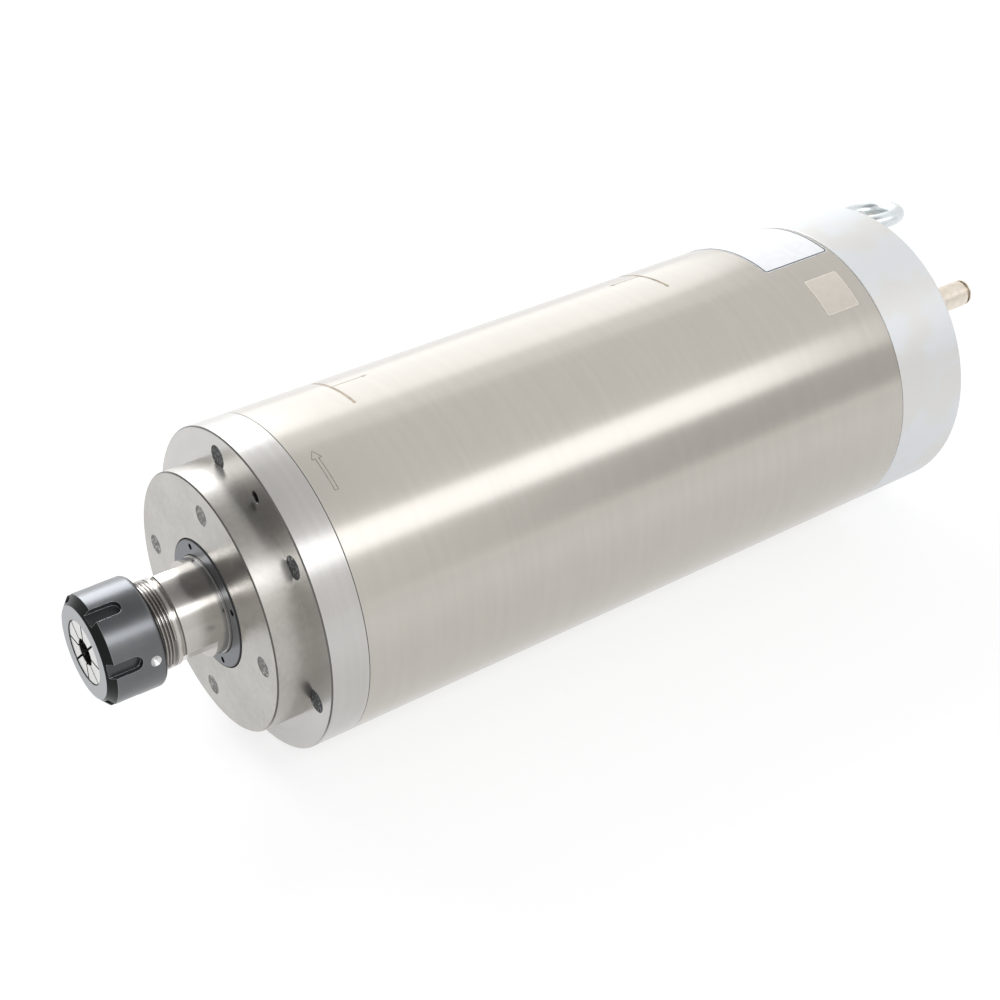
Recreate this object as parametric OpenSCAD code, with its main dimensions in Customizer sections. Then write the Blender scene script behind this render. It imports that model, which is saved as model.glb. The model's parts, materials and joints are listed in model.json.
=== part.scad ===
// Water-cooled motor spindle with a collet nut at its nose.
// The spindle axis is Y: the nose points to -Y and the rear cap to +Y. Z is up.
// The origin lies on the axis, in the locating face of the front flange.

/* [Body] */
// Outer diameter of flange, barrel and rear cap
body_d = 150; // [146:1:160]
// Thickness of the front flange
flange_t = 18.5; // [16:0.5:24]
// Length of the stainless barrel
barrel_len = 311; // [300:1:340]
// Length of the rear cap outside the barrel
cap_len = 42; // [38:1:60]
// Wall of the barrel
barrel_wall = 4.5; // [3.5:0.5:6]
// Chamfer on the outer edges
edge = 0.6; // [0.3:0.1:1]
// Turn of the top marks about the axis, as the spindle lies
clock = 16; // [-30:1:30]

/* [Front cover] */
// Width of the flange face that shows round the cover
cover_step = 15; // [13:0.5:19]
// Thickness of the front cover in front of the flange
cover_t = 17; // [15:0.5:22]
// Spigot of the cover that clamps the outer rings
cover_spigot = 4; // [3:0.5:6]
// Distance of the cover screws from the edge of the cover
cover_screw_inset = 12; // [11:0.5:14]
// Number of cover screws
cover_screw_count = 4; // [3:1:6]

/* [Dust ring] */
// Diameter of the dust ring
ring_d = 59; // [56:0.5:62]
// How far the dust ring stands in front of the cover
ring_proud = 0.5; // [0.2:0.1:1.5]
// Pitch circle of the pin-spanner holes
ring_pcd = 52.8; // [51:0.2:54]
// Diameter of the pin-spanner holes
ring_hole_d = 3; // [2:0.25:3.5]

/* [Shaft] */
// How far the bearing seat shows in front of the dust ring
seat_shown = 1; // [0.5:0.25:2]
// Diameter of the neck
neck_d = 44; // [43:0.2:44.4]
// Length of the neck
neck_len = 20.5; // [19:0.5:26]
// Width across the wrench flats
flats_across = 36; // [35:0.5:39]
// Length of the wrench flats from the front of the neck
flats_len = 15; // [10:0.5:16]
// Length of thread and plain band that shows behind the nut
thread_shown = 9.5; // [6:0.5:14]
// Core diameter of the nose thread
thread_core_d = 38.3; // [37.8:0.1:38.6]
// Crest diameter of the nose thread
thread_crest_d = 40; // [39.6:0.1:40]
// Width of the plain band behind the thread
band_w = 2; // [1:0.25:2.5]

/* [Nut and collet] */
// Outer diameter of the nut
nut_d = 50; // [48:0.5:54]
// Length of the nut
nut_len = 26.5; // [24:0.5:30]
// Diameter of the nut's front face
nut_face_d = 42; // [40:0.5:43]
// Width of the hook-spanner slots
slot_w = 6.6; // [5:0.2:7.5]
// Length of the slots from the front face
slot_len = 15.6; // [12:0.2:17]
// Depth of the slots
slot_depth = 3; // [2:0.25:3.5]
// Largest diameter of the collet
collet_d = 33; // [32.6:0.1:33.2]
// Length of the collet
collet_len = 40; // [38:1:42]
// Diameter of the bore that grips the tool
collet_bore_d = 12; // [6:1:16]
// Width of the slits
slit_w = 1; // [0.6:0.1:1.2]

/* [Front bearings] */
// Bore of the front bearings
front_bore_d = 45; // [44.8:0.1:45.6]
// Outer diameter of the front bearings
front_outer_d = 75; // [74:0.5:78]
// Width of each front bearing
front_w = 16; // [14:0.5:18]
// Ball diameter of the front bearings as a share of the height of their section
front_ball_share = 0.6; // [0.54:0.01:0.62]
// Number of balls in each front bearing
front_balls = 15; // [12:1:16]
// Width of the front spacers
front_gap = 6; // [4:0.5:10]

/* [Rear bearings] */
// Bore of the rear bearings
rear_bore_d = 35; // [34:0.5:36]
// Outer diameter of the rear bearings
rear_outer_d = 62; // [61:0.5:64]
// Width of each rear bearing
rear_w = 14; // [12:0.5:15]
// Ball diameter of the rear bearings as a share of the height of their section
rear_ball_share = 0.59; // [0.54:0.01:0.62]
// Number of balls in each rear bearing
rear_balls = 14; // [11:1:14]
// Width of the rear spacers
rear_gap = 4; // [3:0.5:6]

/* [Motor] */
// Bore of the stator core
stator_bore_d = 74; // [72:0.5:76]
// Length of the stator and rotor cores
core_len = 170; // [150:1:180]
// Number of stator slots
stator_slots = 36; // [24:6:36]
// Length of the end turns
end_turn_len = 20; // [15:1:22]
// Air gap between rotor and stator
air_gap = 0.5; // [0.4:0.05:0.8]
// Number of rotor bars
rotor_bars = 28; // [20:2:30]
// Radial thickness of the rotor core
rotor_wall = 11.5; // [10.5:0.25:12.5]

/* [Water jacket] */
// Wall of the water jacket
jacket_wall = 10.5; // [10:0.25:12]
// Number of ring channels
channels = 9; // [6:1:11]
// Depth of the ring channels
channel_depth = 5.4; // [4:0.2:6]
// Width of the ribs between the channels
rib_w = 6; // [4:0.5:9]

/* [Water fittings] */
// Outer diameter of each fitting
fitting_d = 13; // [12:0.25:14]
// How far each fitting stands out of the rear cap
fitting_len = 23.5; // [22:0.5:30]
// Distance of each fitting from the edge of the rear cap
fitting_inset = 11; // [10:0.5:12]
// Angle between each fitting and the top marks
fitting_angle = 62.4; // [55:0.1:75]
// Outer diameter of the hose that the fitting takes
hose_d = 8; // [6:0.5:8]
// Travel of the release collar
collar_travel = 1; // [0.6:0.1:1.2]

/* [Eyebolt] */
// Outer diameter of the eye
eye_d = 36; // [34:0.5:40]
// Thickness of the eye's ring
eye_t = 8; // [6:0.5:9]
// Distance of the eye's centre from the rear face
eye_height = 21; // [20:0.5:26]
// Distance of the eyebolt from the edge of the rear cap
eye_inset = 10.5; // [10:0.5:12]
// Turn of the eye about its own shank
eye_turn = 15; // [-30:1:30]

/* [Connector] */
// Side of the square flange
socket_flange = 44; // [42:0.5:50]
// Outer diameter of the shell
socket_d = 34; // [32:0.5:36]
// How far the shell stands out of the flange
socket_len = 18; // [15:0.5:25]
// Diameter of the pins
pin_d = 4; // [3:0.25:4.5]
// Pitch circle of the pins
pin_pcd = 18; // [16:0.5:19]

/* [Fasteners] */
// Thread of the flange and cap screws
big_screw_d = 6; // [5:0.5:6]
// Distance of the flange and cap screws from the edge of the body
big_screw_inset = 11; // [10:0.5:12]
// Number of flange and of cap screws
big_screw_count = 6; // [6:1:6]
// Thread of the cover screws
small_screw_d = 5; // [4:0.5:5]
// Thickness of the resin over each sunk screw
fill_t = 1; // [0.6:0.1:1.5]

/* [Clearances] */
// Radial gap between pieces that are fitted into each other
fit = 0.03; // [0.02:0.01:0.05]
// Radial gap of a running fit
run = 0.06; // [0.05:0.01:0.08]
// Gap between balls and raceways
ball_gap = 0.1; // [0.08:0.01:0.14]
// Gap in the labyrinth between dust ring and cover
seal_gap = 0.3; // [0.3:0.05:0.5]

/* [Hidden] */
$fn = 96;
body_r = body_d / 2;
barrel_in = body_r - barrel_wall;
cover_d = body_d - 2 * cover_step;
cover_pcd = cover_d - 2 * cover_screw_inset;
big_screw_pcd = body_d - 2 * big_screw_inset;
fitting_r = body_r - fitting_inset;
eye_r = body_r - eye_inset;
over = 1;

// Stations along the axis, from the flange face
flange_back = flange_t;
barrel_end = flange_back + barrel_len;
cap_face = barrel_end + cap_len;
cover_face = -cover_t;
ring_face = cover_face - ring_proud;
seat_face = ring_face - seat_shown;
neck_face = seat_face - neck_len;
nut_back = neck_face - thread_shown;
nut_face = nut_back - nut_len;

// Nut and collet
collet_sink = 0.4;
collet_face = nut_face + collet_sink;
collet_end = collet_face + collet_len;
collet_face_r = collet_d / 2 - 2.2;
collet_lip_r = collet_d / 2 - 0.5;
front_cone = (collet_lip_r - collet_face_r) / tan(30);
lip_land = 0.7;
groove_w = 2.5;
groove_r = collet_d / 2 - 1.9;
shoulder_y = collet_face + front_cone + lip_land + groove_w + 1.1;
taper = tan(8);
spindle_end = shoulder_y + 1.4;
nut_crest_gap = 0.1;
nut_bore_r = thread_crest_d / 2 + nut_crest_gap;
nut_round = 2;
function collet_r(y) = collet_d / 2 - (y - shoulder_y) * taper;
slit_count = 8;
collet_rear_ring = 5.4;
collet_front_ring = 8.6;
dimple_d = 4.8;
dimple_back = 5.4;
slot_angle = -20;

// Front bearing stack
front_a = cover_spigot;
front_b = front_a + front_w + front_gap;
front_end = front_b + front_w;
front_stop = 8;
front_hub_r = front_outer_d / 2 + 10.5;
front_hub_end = front_end + front_stop;
shaft_collar_len = 10;

// Bearing as bore, outer diameter, width, ball diameter and number of balls
function ball_d(bore, outer, share) = share * (outer - bore) / 2;
front_bearing = [front_bore_d, front_outer_d, front_w,
    ball_d(front_bore_d, front_outer_d, front_ball_share), front_balls];
rear_bearing = [rear_bore_d, rear_outer_d, rear_w,
    ball_d(rear_bore_d, rear_outer_d, rear_ball_share), rear_balls];
function pitch_r(b) = (b[0] + b[1]) / 4;
function inner_land(b) = pitch_r(b) - 0.3 * b[3];
function outer_land(b) = pitch_r(b) + 0.3 * b[3];

// Rear end
bracket_back = barrel_end - 4;
bracket_t = 12;
bracket_front = bracket_back - bracket_t;
rear_reach = 6.5;
rear_a = bracket_back + rear_reach - 2 * rear_w - rear_gap;
rear_b = rear_a + rear_w + rear_gap;
rear_end = rear_b + rear_w;
seat_lip = 4;
seat_front = rear_a - seat_lip;
seat_wall = 4;
retainer_t = 5;
seat_end = rear_end + retainer_t;
spring_space = 4;
bracket_lip = 4;
hub_front = seat_front - spring_space - bracket_lip;
hub_r = rear_outer_d / 2 + seat_wall + 7;
locknut_t = 9;
locknut_r = rear_bore_d / 2 + 6.5;
shaft_end = rear_end + locknut_t + 3;

// Motor
jacket_r = barrel_in - fit;
jacket_in = barrel_in - jacket_wall;
jacket_front = flange_back;
jacket_end = bracket_front;
core_start = (front_hub_end + hub_front) / 2 - core_len / 2 + 11;
core_end = core_start + core_len;
rotor_r = stator_bore_d / 2 - air_gap;
end_ring_len = 10;
balance_len = 9;
balance_space = 2;
core_seat_d = 2 * (rotor_r - rotor_wall);
bar_d = 0.45 * rotor_wall;
bar_r = rotor_r - 1.2 - bar_d / 2;
stator_mouth = 2;
slot_share = 0.565;
slot_root_r = stator_bore_d / 2 + slot_share * (jacket_in - stator_bore_d / 2);
slot_top_r = stator_bore_d / 2 + 1.4;
tooth_share = 0.52;
insulation = 0.25;

// Water jacket
seal_cord = 2.4;
seal_sink = 2.5;
seal_groove_w = 3.2;
land = 18;
channel_start = jacket_front + land;
channel_zone = jacket_end - land - channel_start;
channel_pitch = (channel_zone + rib_w) / channels;
channel_w = channel_pitch - rib_w;
channel_floor = barrel_in - channel_depth;
crossing_w = 16;
port_r = 2.75;
return_r = 2;
return_pos = jacket_in + return_r + 0.6;

// Rear cap
chamber_r = body_r - 18;
plate_t = 14;
chamber_end = cap_face - plate_t;
cap_round = 1.5;
cap_spigot_r = barrel_in - fit;

// Screws
big_head_r = big_screw_d / 2 + 2;
big_head_h = big_screw_d;
small_head_r = small_screw_d / 2 + 1.75;
small_head_h = small_screw_d;
head_gap = 0.4;
sink_big = big_head_h + fill_t;
sink_small = small_head_h + fill_t;
flange_screw_angle = clock - 6;
cover_screw_angle = clock - 20;
cap_screw_angle = clock - 30;
screw_bite = 12;
jack_d = 5;
jack_angle = clock - 35;
jack_depth = 9;

// Water fittings
fitting_end = cap_face + fitting_len;
collar_flange = 1.3;
collar_r = fitting_d / 2 - 0.2;
collar_gap = collar_travel + 0.25;
fitting_body_end = fitting_end - collar_flange - collar_gap;
collar_bore_r = hose_d / 2 + 0.1;
collar_wall = 0.8;
collar_len = 10;
thread_r = 5;
fitting_thread_len = 11;
hose_seat_len = 6;
fitting_top_angles = [-fitting_angle, fitting_angle];

// Eyebolt
eye_foot_d = 18;
eye_thread_d = 8;
eye_thread_len = 15;
eye_angle = clock + 2;

// Connector
gasket_t = 0.6;
socket_flange_t = 3;
socket_base = cap_face + gasket_t;
socket_top = socket_base + socket_flange_t + socket_len;
socket_wall = 3;
socket_in = socket_d / 2 - socket_wall;
socket_tail_r = socket_in + 1.4;
insert_face = socket_top - 12;
insert_back = chamber_end - 3;
pin_top = socket_top - 3;
cup_back = insert_back - 1;
lead_d = 2.8;
lead_bend = 2.4;
lead_hole_r = 7.5;
lead_hole_pos = (hub_r + jacket_in) / 2 - 1;
lead_depth = lead_hole_pos - 1.5;
lead_level = shaft_end + 2.6;
socket_screw_pos = socket_flange / 2 - 5;
socket_screw_d = 4;

// Turns a shape whose axis is Z so that the axis is Y, and moves it to station y
module at(y = 0) {
    translate([0, y, 0]) rotate([-90, 0, 0]) children();
}

// Revolves an outline of [radius, station] points about the spindle axis
module revolve(outline) {
    rotate([-90, 0, 0]) rotate_extrude() polygon(outline);
}

// Places a shape at radius r and station y, at angle a from the top
module polar(a, r, y = 0) {
    rotate([0, -a, 0]) translate([0, y, r]) children();
}

// Repeats a shape around the axis
module around(count, r, y = 0, start = 0) {
    for (i = [0 : count - 1]) polar(start + i * 360 / count, r, y) children();
}

// A plain ring between two radii and two stations
module ring(r_in, r_out, y0, y1) {
    revolve([[r_in, y0], [r_out, y0], [r_out, y1], [r_in, y1]]);
}

// A ring with its outer edges chamfered
module soft_ring(r_in, r_out, y0, y1, c = 0.5) {
    revolve([[r_in, y0], [r_out - c, y0], [r_out, y0 + c], [r_out, y1 - c], [r_out - c, y1],
        [r_in, y1]]);
}

// Points of an arc, for the round stretches of an outline
function arc(x, y, r, from, to, steps = 6) =
    [for (i = [0 : steps]) let (t = from + (to - from) * i / steps) [x + r * cos(t), y + r * sin(t)]];

// A hole or a pin along the axis direction
module rod(r, y0, y1) {
    translate([0, y0, 0]) rotate([-90, 0, 0]) cylinder(r = r, h = y1 - y0);
}

// A round seal lying in its groove
module seal(r, y, cord = seal_cord) {
    rotate([-90, 0, 0]) rotate_extrude() translate([r, y]) circle(d = cord, $fn = 32);
}

// A socket screw along +Y: the top of its head is at station 0
module socket_screw(d, head_r, head_h, length) {
    difference() {
        union() {
            revolve([[0, 0], [head_r - 0.4, 0], [head_r, 0.4], [head_r, head_h], [0, head_h]]);
            rod(d / 2 - fit, head_h - 0.5, head_h + length);
        }
        at(-over) rotate([0, 0, 30]) cylinder(r = d * 0.48, h = d * 0.55 + over, $fn = 6);
    }
}

// Housing

module front_housing() {
    seat_r = front_outer_d / 2 + fit;
    color("silver") difference() {
        revolve([[seat_r, 0], [body_r - edge, 0], [body_r, edge], [body_r, flange_back - 0.3],
            [body_r - 0.3, flange_back], [jacket_in - fit, flange_back],
            [jacket_in - fit, flange_back + 10], [jacket_in - 1.5, flange_back + 11.5],
            [front_hub_r, flange_back + 11.5], [front_hub_r, front_hub_end - 1],
            [front_hub_r - 1, front_hub_end], [seat_r - 6, front_hub_end], [seat_r - 6, front_end],
            [seat_r, front_end]]);
        around(big_screw_count, big_screw_pcd / 2, 0, flange_screw_angle) {
            rod(big_screw_d / 2 + 0.3, -over, flange_back + over);
            rod(big_head_r + head_gap, -over, sink_big);
        }
        around(cover_screw_count, cover_pcd / 2, 0, cover_screw_angle)
            rod(small_screw_d / 2, -over, screw_bite + 2);
        for (a = [jack_angle, jack_angle + 180]) polar(a, big_screw_pcd / 2 - 0.5)
            revolve([[0, -over], [jack_d / 2 + 0.4 + over, -over], [jack_d / 2, 0.4],
                [jack_d / 2, jack_depth], [0, jack_depth + jack_d / 4]]);
    }
}

module front_cover() {
    cover_r = cover_d / 2;
    lip_r = front_bore_d / 2 + 4.4;
    bore_r = ring_d / 2 + seal_gap;
    color("lightgray") difference() {
        revolve([[bore_r + 0.3, cover_face], [cover_r - edge, cover_face],
            [cover_r, cover_face + edge], [cover_r, 0], [front_outer_d / 2 - fit, 0],
            [front_outer_d / 2 - fit, cover_spigot], [outer_land(front_bearing) + 0.5, cover_spigot],
            [outer_land(front_bearing) + 0.5, 1], [lip_r, 1], [lip_r, -3], [bore_r, -3],
            [bore_r, cover_face + 0.3]]);
        ring(bore_r - over, bore_r + 1, -9, -7.5);
        ring(cover_r - 6.2, cover_r - 3.4, -2, over);
        around(cover_screw_count, cover_pcd / 2, 0, cover_screw_angle) {
            rod(small_screw_d / 2 + 0.3, cover_face - over, over);
            rod(small_head_r + head_gap, cover_face - over, cover_face + sink_small);
        }
    }
}

module barrel() {
    color("gainsboro")
        revolve([[barrel_in, flange_back], [body_r - 0.3, flange_back],
            [body_r, flange_back + 0.3], [body_r, barrel_end - 0.3], [body_r - 0.3, barrel_end],
            [barrel_in, barrel_end]]);
}

module water_jacket() {
    seal_floor = barrel_in - seal_sink;
    color("darkgray") difference() {
        ring(jacket_in, jacket_r, jacket_front, jacket_end);
        for (i = [0 : channels - 1])
            ring(channel_floor, body_r, channel_start + i * channel_pitch,
                channel_start + i * channel_pitch + channel_w);
        for (i = [1 : channels - 1])
            polar(clock + 180 * (i % 2), channel_floor, channel_start + i * channel_pitch - rib_w - over)
                translate([-crossing_w / 2, 0, 0]) cube([crossing_w, rib_w + 2 * over, body_r]);
        for (y = [jacket_front + land / 2, jacket_end - land / 2])
            ring(seal_floor, body_r, y - seal_groove_w / 2, y + seal_groove_w / 2);
        around(big_screw_count, big_screw_pcd / 2, jacket_front, flange_screw_angle)
            rod(big_screw_d / 2, -over, screw_bite + 2);
        polar(clock + fitting_top_angles[0], fitting_r, jacket_end - land - over)
            rod(port_r, 0, land + 2 * over);
        polar(clock + fitting_top_angles[1], return_pos, channel_start + channel_w / 2)
            rod(return_r, 0, jacket_end - channel_start);
        polar(clock + fitting_top_angles[1], return_pos, channel_start + channel_w / 2)
            cylinder(r = return_r, h = channel_depth);
    }
}

module rear_bracket() {
    bore_r = rear_outer_d / 2 + seat_wall + run;
    color("darkgray") difference() {
        revolve([[bore_r - 6, hub_front], [hub_r - 1, hub_front], [hub_r, hub_front + 1],
            [hub_r, bracket_front - 6.5], [jacket_in - 1.5, bracket_front - 6.5],
            [jacket_in - fit, bracket_front - 5], [jacket_in - fit, bracket_front],
            [jacket_r, bracket_front], [jacket_r, bracket_back], [bore_r, bracket_back],
            [bore_r, hub_front + bracket_lip], [bore_r - 6, hub_front + bracket_lip]]);
        ring(barrel_in - seal_sink, body_r, bracket_front + 4, bracket_front + 4 + seal_groove_w);
        around(big_screw_count, big_screw_pcd / 2, bracket_back, cap_screw_angle)
            rod(big_screw_d / 2, -bracket_t + over, over);
        for (a = fitting_top_angles) polar(clock + a, fitting_r, bracket_front) {
            rod(port_r, -over, bracket_t + over);
            difference() {
                rod(port_r + 2.6, bracket_t - 1.3, bracket_t + over);
                rod(port_r + 0.6, bracket_t - 2, bracket_t + 2 * over);
            }
        }
        translate([0, bracket_front - 10, -lead_hole_pos]) rod(lead_hole_r, 0, bracket_t + 12);
    }
}

module rear_cap() {
    outline = concat(
        [[chamber_r, bracket_back], [cap_spigot_r, bracket_back], [cap_spigot_r, barrel_end],
            [body_r - 0.4, barrel_end], [body_r, barrel_end + 0.4]],
        arc(body_r - cap_round, cap_face - cap_round, cap_round, 0, 90),
        [[socket_tail_r + 0.3, cap_face], [socket_tail_r + 0.3, chamber_end],
            [chamber_r - 4, chamber_end], [chamber_r, chamber_end - 4]]);
    color("whitesmoke") difference() {
        revolve(outline);
        around(big_screw_count, big_screw_pcd / 2, 0, cap_screw_angle) {
            rod(big_screw_d / 2 + 0.3, bracket_back - over, cap_face + over);
            rod(big_head_r + head_gap, cap_face - sink_big, cap_face + over);
        }
        for (a = fitting_top_angles) polar(clock + a, fitting_r) {
            rod(port_r, bracket_back - over, cap_face);
            rod(thread_r, cap_face - fitting_thread_len - 1, cap_face + over);
        }
        polar(eye_angle, eye_r) rod(eye_thread_d / 2, cap_face - eye_thread_len - 1, cap_face + over);
        for (x = [-1, 1], z = [-1, 1]) translate([x * socket_screw_pos, 0, z * socket_screw_pos])
            rod(socket_screw_d / 2, cap_face - 10, cap_face + over);
    }
}

module seal_rings() {
    r = barrel_in - seal_cord / 2 - 0.06;
    color("black") {
        for (y = [jacket_front + land / 2, jacket_end - land / 2,
                bracket_front + 4 + seal_groove_w / 2])
            seal(r, y);
        seal(cover_d / 2 - 4.8, -1, 1.8);
        for (a = fitting_top_angles) polar(clock + a, fitting_r)
            seal(port_r + 1.6, bracket_back - 0.7, 1.1);
    }
}

module flange_screws() {
    color("dimgray") around(big_screw_count, big_screw_pcd / 2, fill_t, flange_screw_angle)
        socket_screw(big_screw_d, big_head_r, big_head_h, flange_back - sink_big + screw_bite);
}

module flange_fills() {
    color("dimgray") around(big_screw_count, big_screw_pcd / 2, 0, flange_screw_angle)
        rod(big_head_r + head_gap - fit, 0.15, fill_t);
}

module cover_screws() {
    color("gray")
        around(cover_screw_count, cover_pcd / 2, cover_face + fill_t, cover_screw_angle)
            socket_screw(small_screw_d, small_head_r, small_head_h,
                cover_t - sink_small + screw_bite);
}

module cover_fills() {
    color("gray") around(cover_screw_count, cover_pcd / 2, cover_face, cover_screw_angle)
        rod(small_head_r + head_gap - fit, 0.1, fill_t);
}

module cap_screws() {
    shank = cap_face - sink_big - bracket_back + bracket_t - 2;
    color("dimgray") around(big_screw_count, big_screw_pcd / 2, cap_face - fill_t, cap_screw_angle)
        rotate([180, 0, 0]) socket_screw(big_screw_d, big_head_r, big_head_h, shank);
}

// Motor

// One wedge of the stator slot, grown by g on each side
module slot_shape(g = 0) {
    share = 180 / stator_slots * tooth_share;
    inner = slot_top_r - g;
    outer = slot_root_r + g;
    polygon([[-inner * tan(share) - g, inner], [-outer * tan(share) - g, outer],
        [outer * tan(share) + g, outer], [inner * tan(share) + g, inner]]);
}

module stator_core() {
    color("slategray") at(core_start) linear_extrude(core_len) difference() {
        circle(r = jacket_in - fit);
        circle(d = stator_bore_d);
        for (i = [0 : stator_slots - 1]) rotate(i * 360 / stator_slots) {
            slot_shape();
            translate([-stator_mouth / 2, stator_bore_d / 2 - over])
                square([stator_mouth, slot_top_r - stator_bore_d / 2 + 2 * over]);
        }
    }
}

// End turns: a bundle with rounded edges
module end_turn(y0, y1) {
    r_in = stator_bore_d / 2 + 2.5;
    r_out = slot_root_r + 2;
    c = 4;
    revolve([[r_in + 1, y0], [r_out - c, y0], [r_out, y0 + c], [r_out, y1 - c], [r_out - c, y1],
        [r_in + 1, y1], [r_in, y1 - 1], [r_in, y0 + 1]]);
}

module stator_winding() {
    color("chocolate") {
        at(core_start - 3) linear_extrude(core_len + 6) for (i = [0 : stator_slots - 1])
            rotate(i * 360 / stator_slots) slot_shape(-insulation);
        end_turn(core_start - end_turn_len, core_start - 2);
        end_turn(core_end + 2, core_end + end_turn_len);
    }
}

// A lead in the plane through its start [x, z] and its pin [x, z]: up, across and up again
module lead(from, to, level) {
    way = to - from;
    run_len = norm(way);
    start = core_end + end_turn_len + 0.05;
    translate([from[0], 0, from[1]]) rotate([0, -atan2(way[1], way[0]), 0]) {
        rod(lead_d / 2, start, level - lead_bend);
        translate([lead_bend, level - lead_bend, 0]) rotate([0, 0, 90])
            rotate_extrude(angle = 90) translate([lead_bend, 0]) circle(d = lead_d);
        translate([lead_bend, level, 0]) rotate([0, 90, 0])
            cylinder(d = lead_d, h = run_len - 2 * lead_bend);
        translate([run_len - lead_bend, level + lead_bend, 0]) rotate([0, 0, -90])
            rotate_extrude(angle = 90) translate([lead_bend, 0]) circle(d = lead_d);
        translate([run_len, 0, 0]) rod(lead_d / 2, level + lead_bend, cup_back - 0.05);
    }
}

module lead_wires() {
    pin_x = pin_pcd / 2 * sin(45);
    color("firebrick") for (side = [-1, 1]) {
        lead([side * 5.4, -lead_depth], [side * pin_x, -pin_x], lead_level + lead_d + 0.7, $fn = 32);
        lead([side * 1.8, -lead_depth], [side * pin_x, pin_x], lead_level, $fn = 32);
    }
}

module rotor_core() {
    color("slategray") at(core_start) linear_extrude(core_len) difference() {
        circle(r = rotor_r);
        circle(r = core_seat_d / 2 + fit);
        for (i = [0 : rotor_bars - 1]) rotate(i * 360 / rotor_bars)
            translate([0, bar_r]) circle(d = bar_d, $fn = 24);
    }
}

module rotor_cage() {
    ring_in = core_seat_d / 2 + 3;
    color("peru") {
        for (i = [0 : rotor_bars - 1]) polar(i * 360 / rotor_bars, bar_r, core_start - 2)
            rod(bar_d / 2 - fit, 0, core_len + 4);
        soft_ring(ring_in, rotor_r - 0.4, core_start - end_ring_len, core_start - 0.05, 1);
        soft_ring(ring_in, rotor_r - 0.4, core_end + 0.05, core_end + end_ring_len, 1);
    }
}

module balance_rings() {
    r_out = rotor_r - 2.5;
    front = core_start - end_ring_len - balance_space - balance_len;
    rear = core_end + end_ring_len + balance_space;
    color("silver") for (y = [front, rear]) difference() {
        soft_ring(core_seat_d / 2 + fit, r_out, y, y + balance_len, 0.5);
        around(12, (core_seat_d / 2 + r_out) / 2, y, 15) rod(1.65, -over, balance_len + over);
    }
}

// Bearings

module outer_ring(b, y, open) {
    ball_r = b[3] / 2;
    race_r = ball_r * 1.06;
    width = b[2];
    out_r = b[1] / 2;
    bottom = pitch_r(b) + ball_r + ball_gap;
    relief = pitch_r(b) + ball_r * 0.86;
    color("lightsteelblue") translate([0, y, 0]) rotate([-90, 0, 0]) rotate_extrude() difference() {
        polygon([[outer_land(b), 0], [out_r - 0.8, 0], [out_r, 0.8], [out_r, width - 0.8],
            [out_r - 0.8, width], [outer_land(b), width]]);
        translate([bottom - race_r, width / 2]) circle(r = race_r);
        translate([pitch_r(b), open > 0 ? width / 2 : -over])
            square([relief - pitch_r(b), width / 2 + over]);
    }
}

module inner_ring(b, y) {
    ball_r = b[3] / 2;
    race_r = ball_r * 1.06;
    width = b[2];
    in_r = b[0] / 2 + fit;
    bottom = pitch_r(b) - ball_r - ball_gap;
    color("lightsteelblue") translate([0, y, 0]) rotate([-90, 0, 0]) rotate_extrude() difference() {
        polygon([[in_r + 0.6, 0], [inner_land(b), 0], [inner_land(b), width], [in_r + 0.6, width],
            [in_r, width - 0.6], [in_r, 0.6]]);
        translate([bottom + race_r, width / 2]) circle(r = race_r);
    }
}

module balls(b, y) {
    color("white") around(b[4], pitch_r(b), y + b[2] / 2) sphere(d = b[3]);
}

module cage(b, y) {
    half = 0.2 * b[3];
    pocket = b[3] / 2 + 0.15;
    width = b[3] + 4;
    start = y + (b[2] - width) / 2;
    color("burlywood") difference() {
        ring(pitch_r(b) - half, pitch_r(b) + half, start, start + width);
        around(b[4], pitch_r(b) - half - 2, y + b[2] / 2) cylinder(r = pocket, h = 2 * half + 4);
    }
}

// Spacers between the two bearings of a pair
module outer_spacer(b, y, width) {
    color("silver") ring(outer_land(b) + 0.8, b[1] / 2 - fit, y, y + width);
}

module inner_spacer(b, y, width) {
    color("silver") ring(b[0] / 2 + fit, inner_land(b) - 0.5, y, y + width);
}

module rear_bearing_seat() {
    bore_r = rear_outer_d / 2 + fit;
    out_r = rear_outer_d / 2 + seat_wall;
    color("silver")
        revolve([[bore_r - 3.5, seat_front], [out_r - 0.5, seat_front], [out_r, seat_front + 0.5],
            [out_r, seat_end], [bore_r, seat_end], [bore_r, rear_a], [bore_r - 3.5, rear_a]]);
}

// Two disc springs, one against the other
module preload_springs() {
    r_in = rear_outer_d / 2 - 0.5;
    r_out = rear_outer_d / 2 + seat_wall - 0.3;
    t = 0.9;
    rise = (spring_space - 0.3) / 2 - t;
    middle = seat_front - spring_space / 2;
    color("darkslategray") for (side = [-1, 1])
        revolve([[r_in, middle + side * 0.05], [r_in, middle + side * (0.05 + t)],
            [r_out, middle + side * (0.05 + t + rise)], [r_out, middle + side * (0.05 + rise)]]);
}

module bearing_retainer() {
    r_in = rear_outer_d / 2 - 4;
    color("gray") difference() {
        ring(r_in, rear_outer_d / 2, rear_end, seat_end);
        around(4, rear_outer_d / 2, seat_end - 2) translate([-2, 0, -3]) cube([4, 3, 6]);
    }
}

// Shaft and what turns with it

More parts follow.
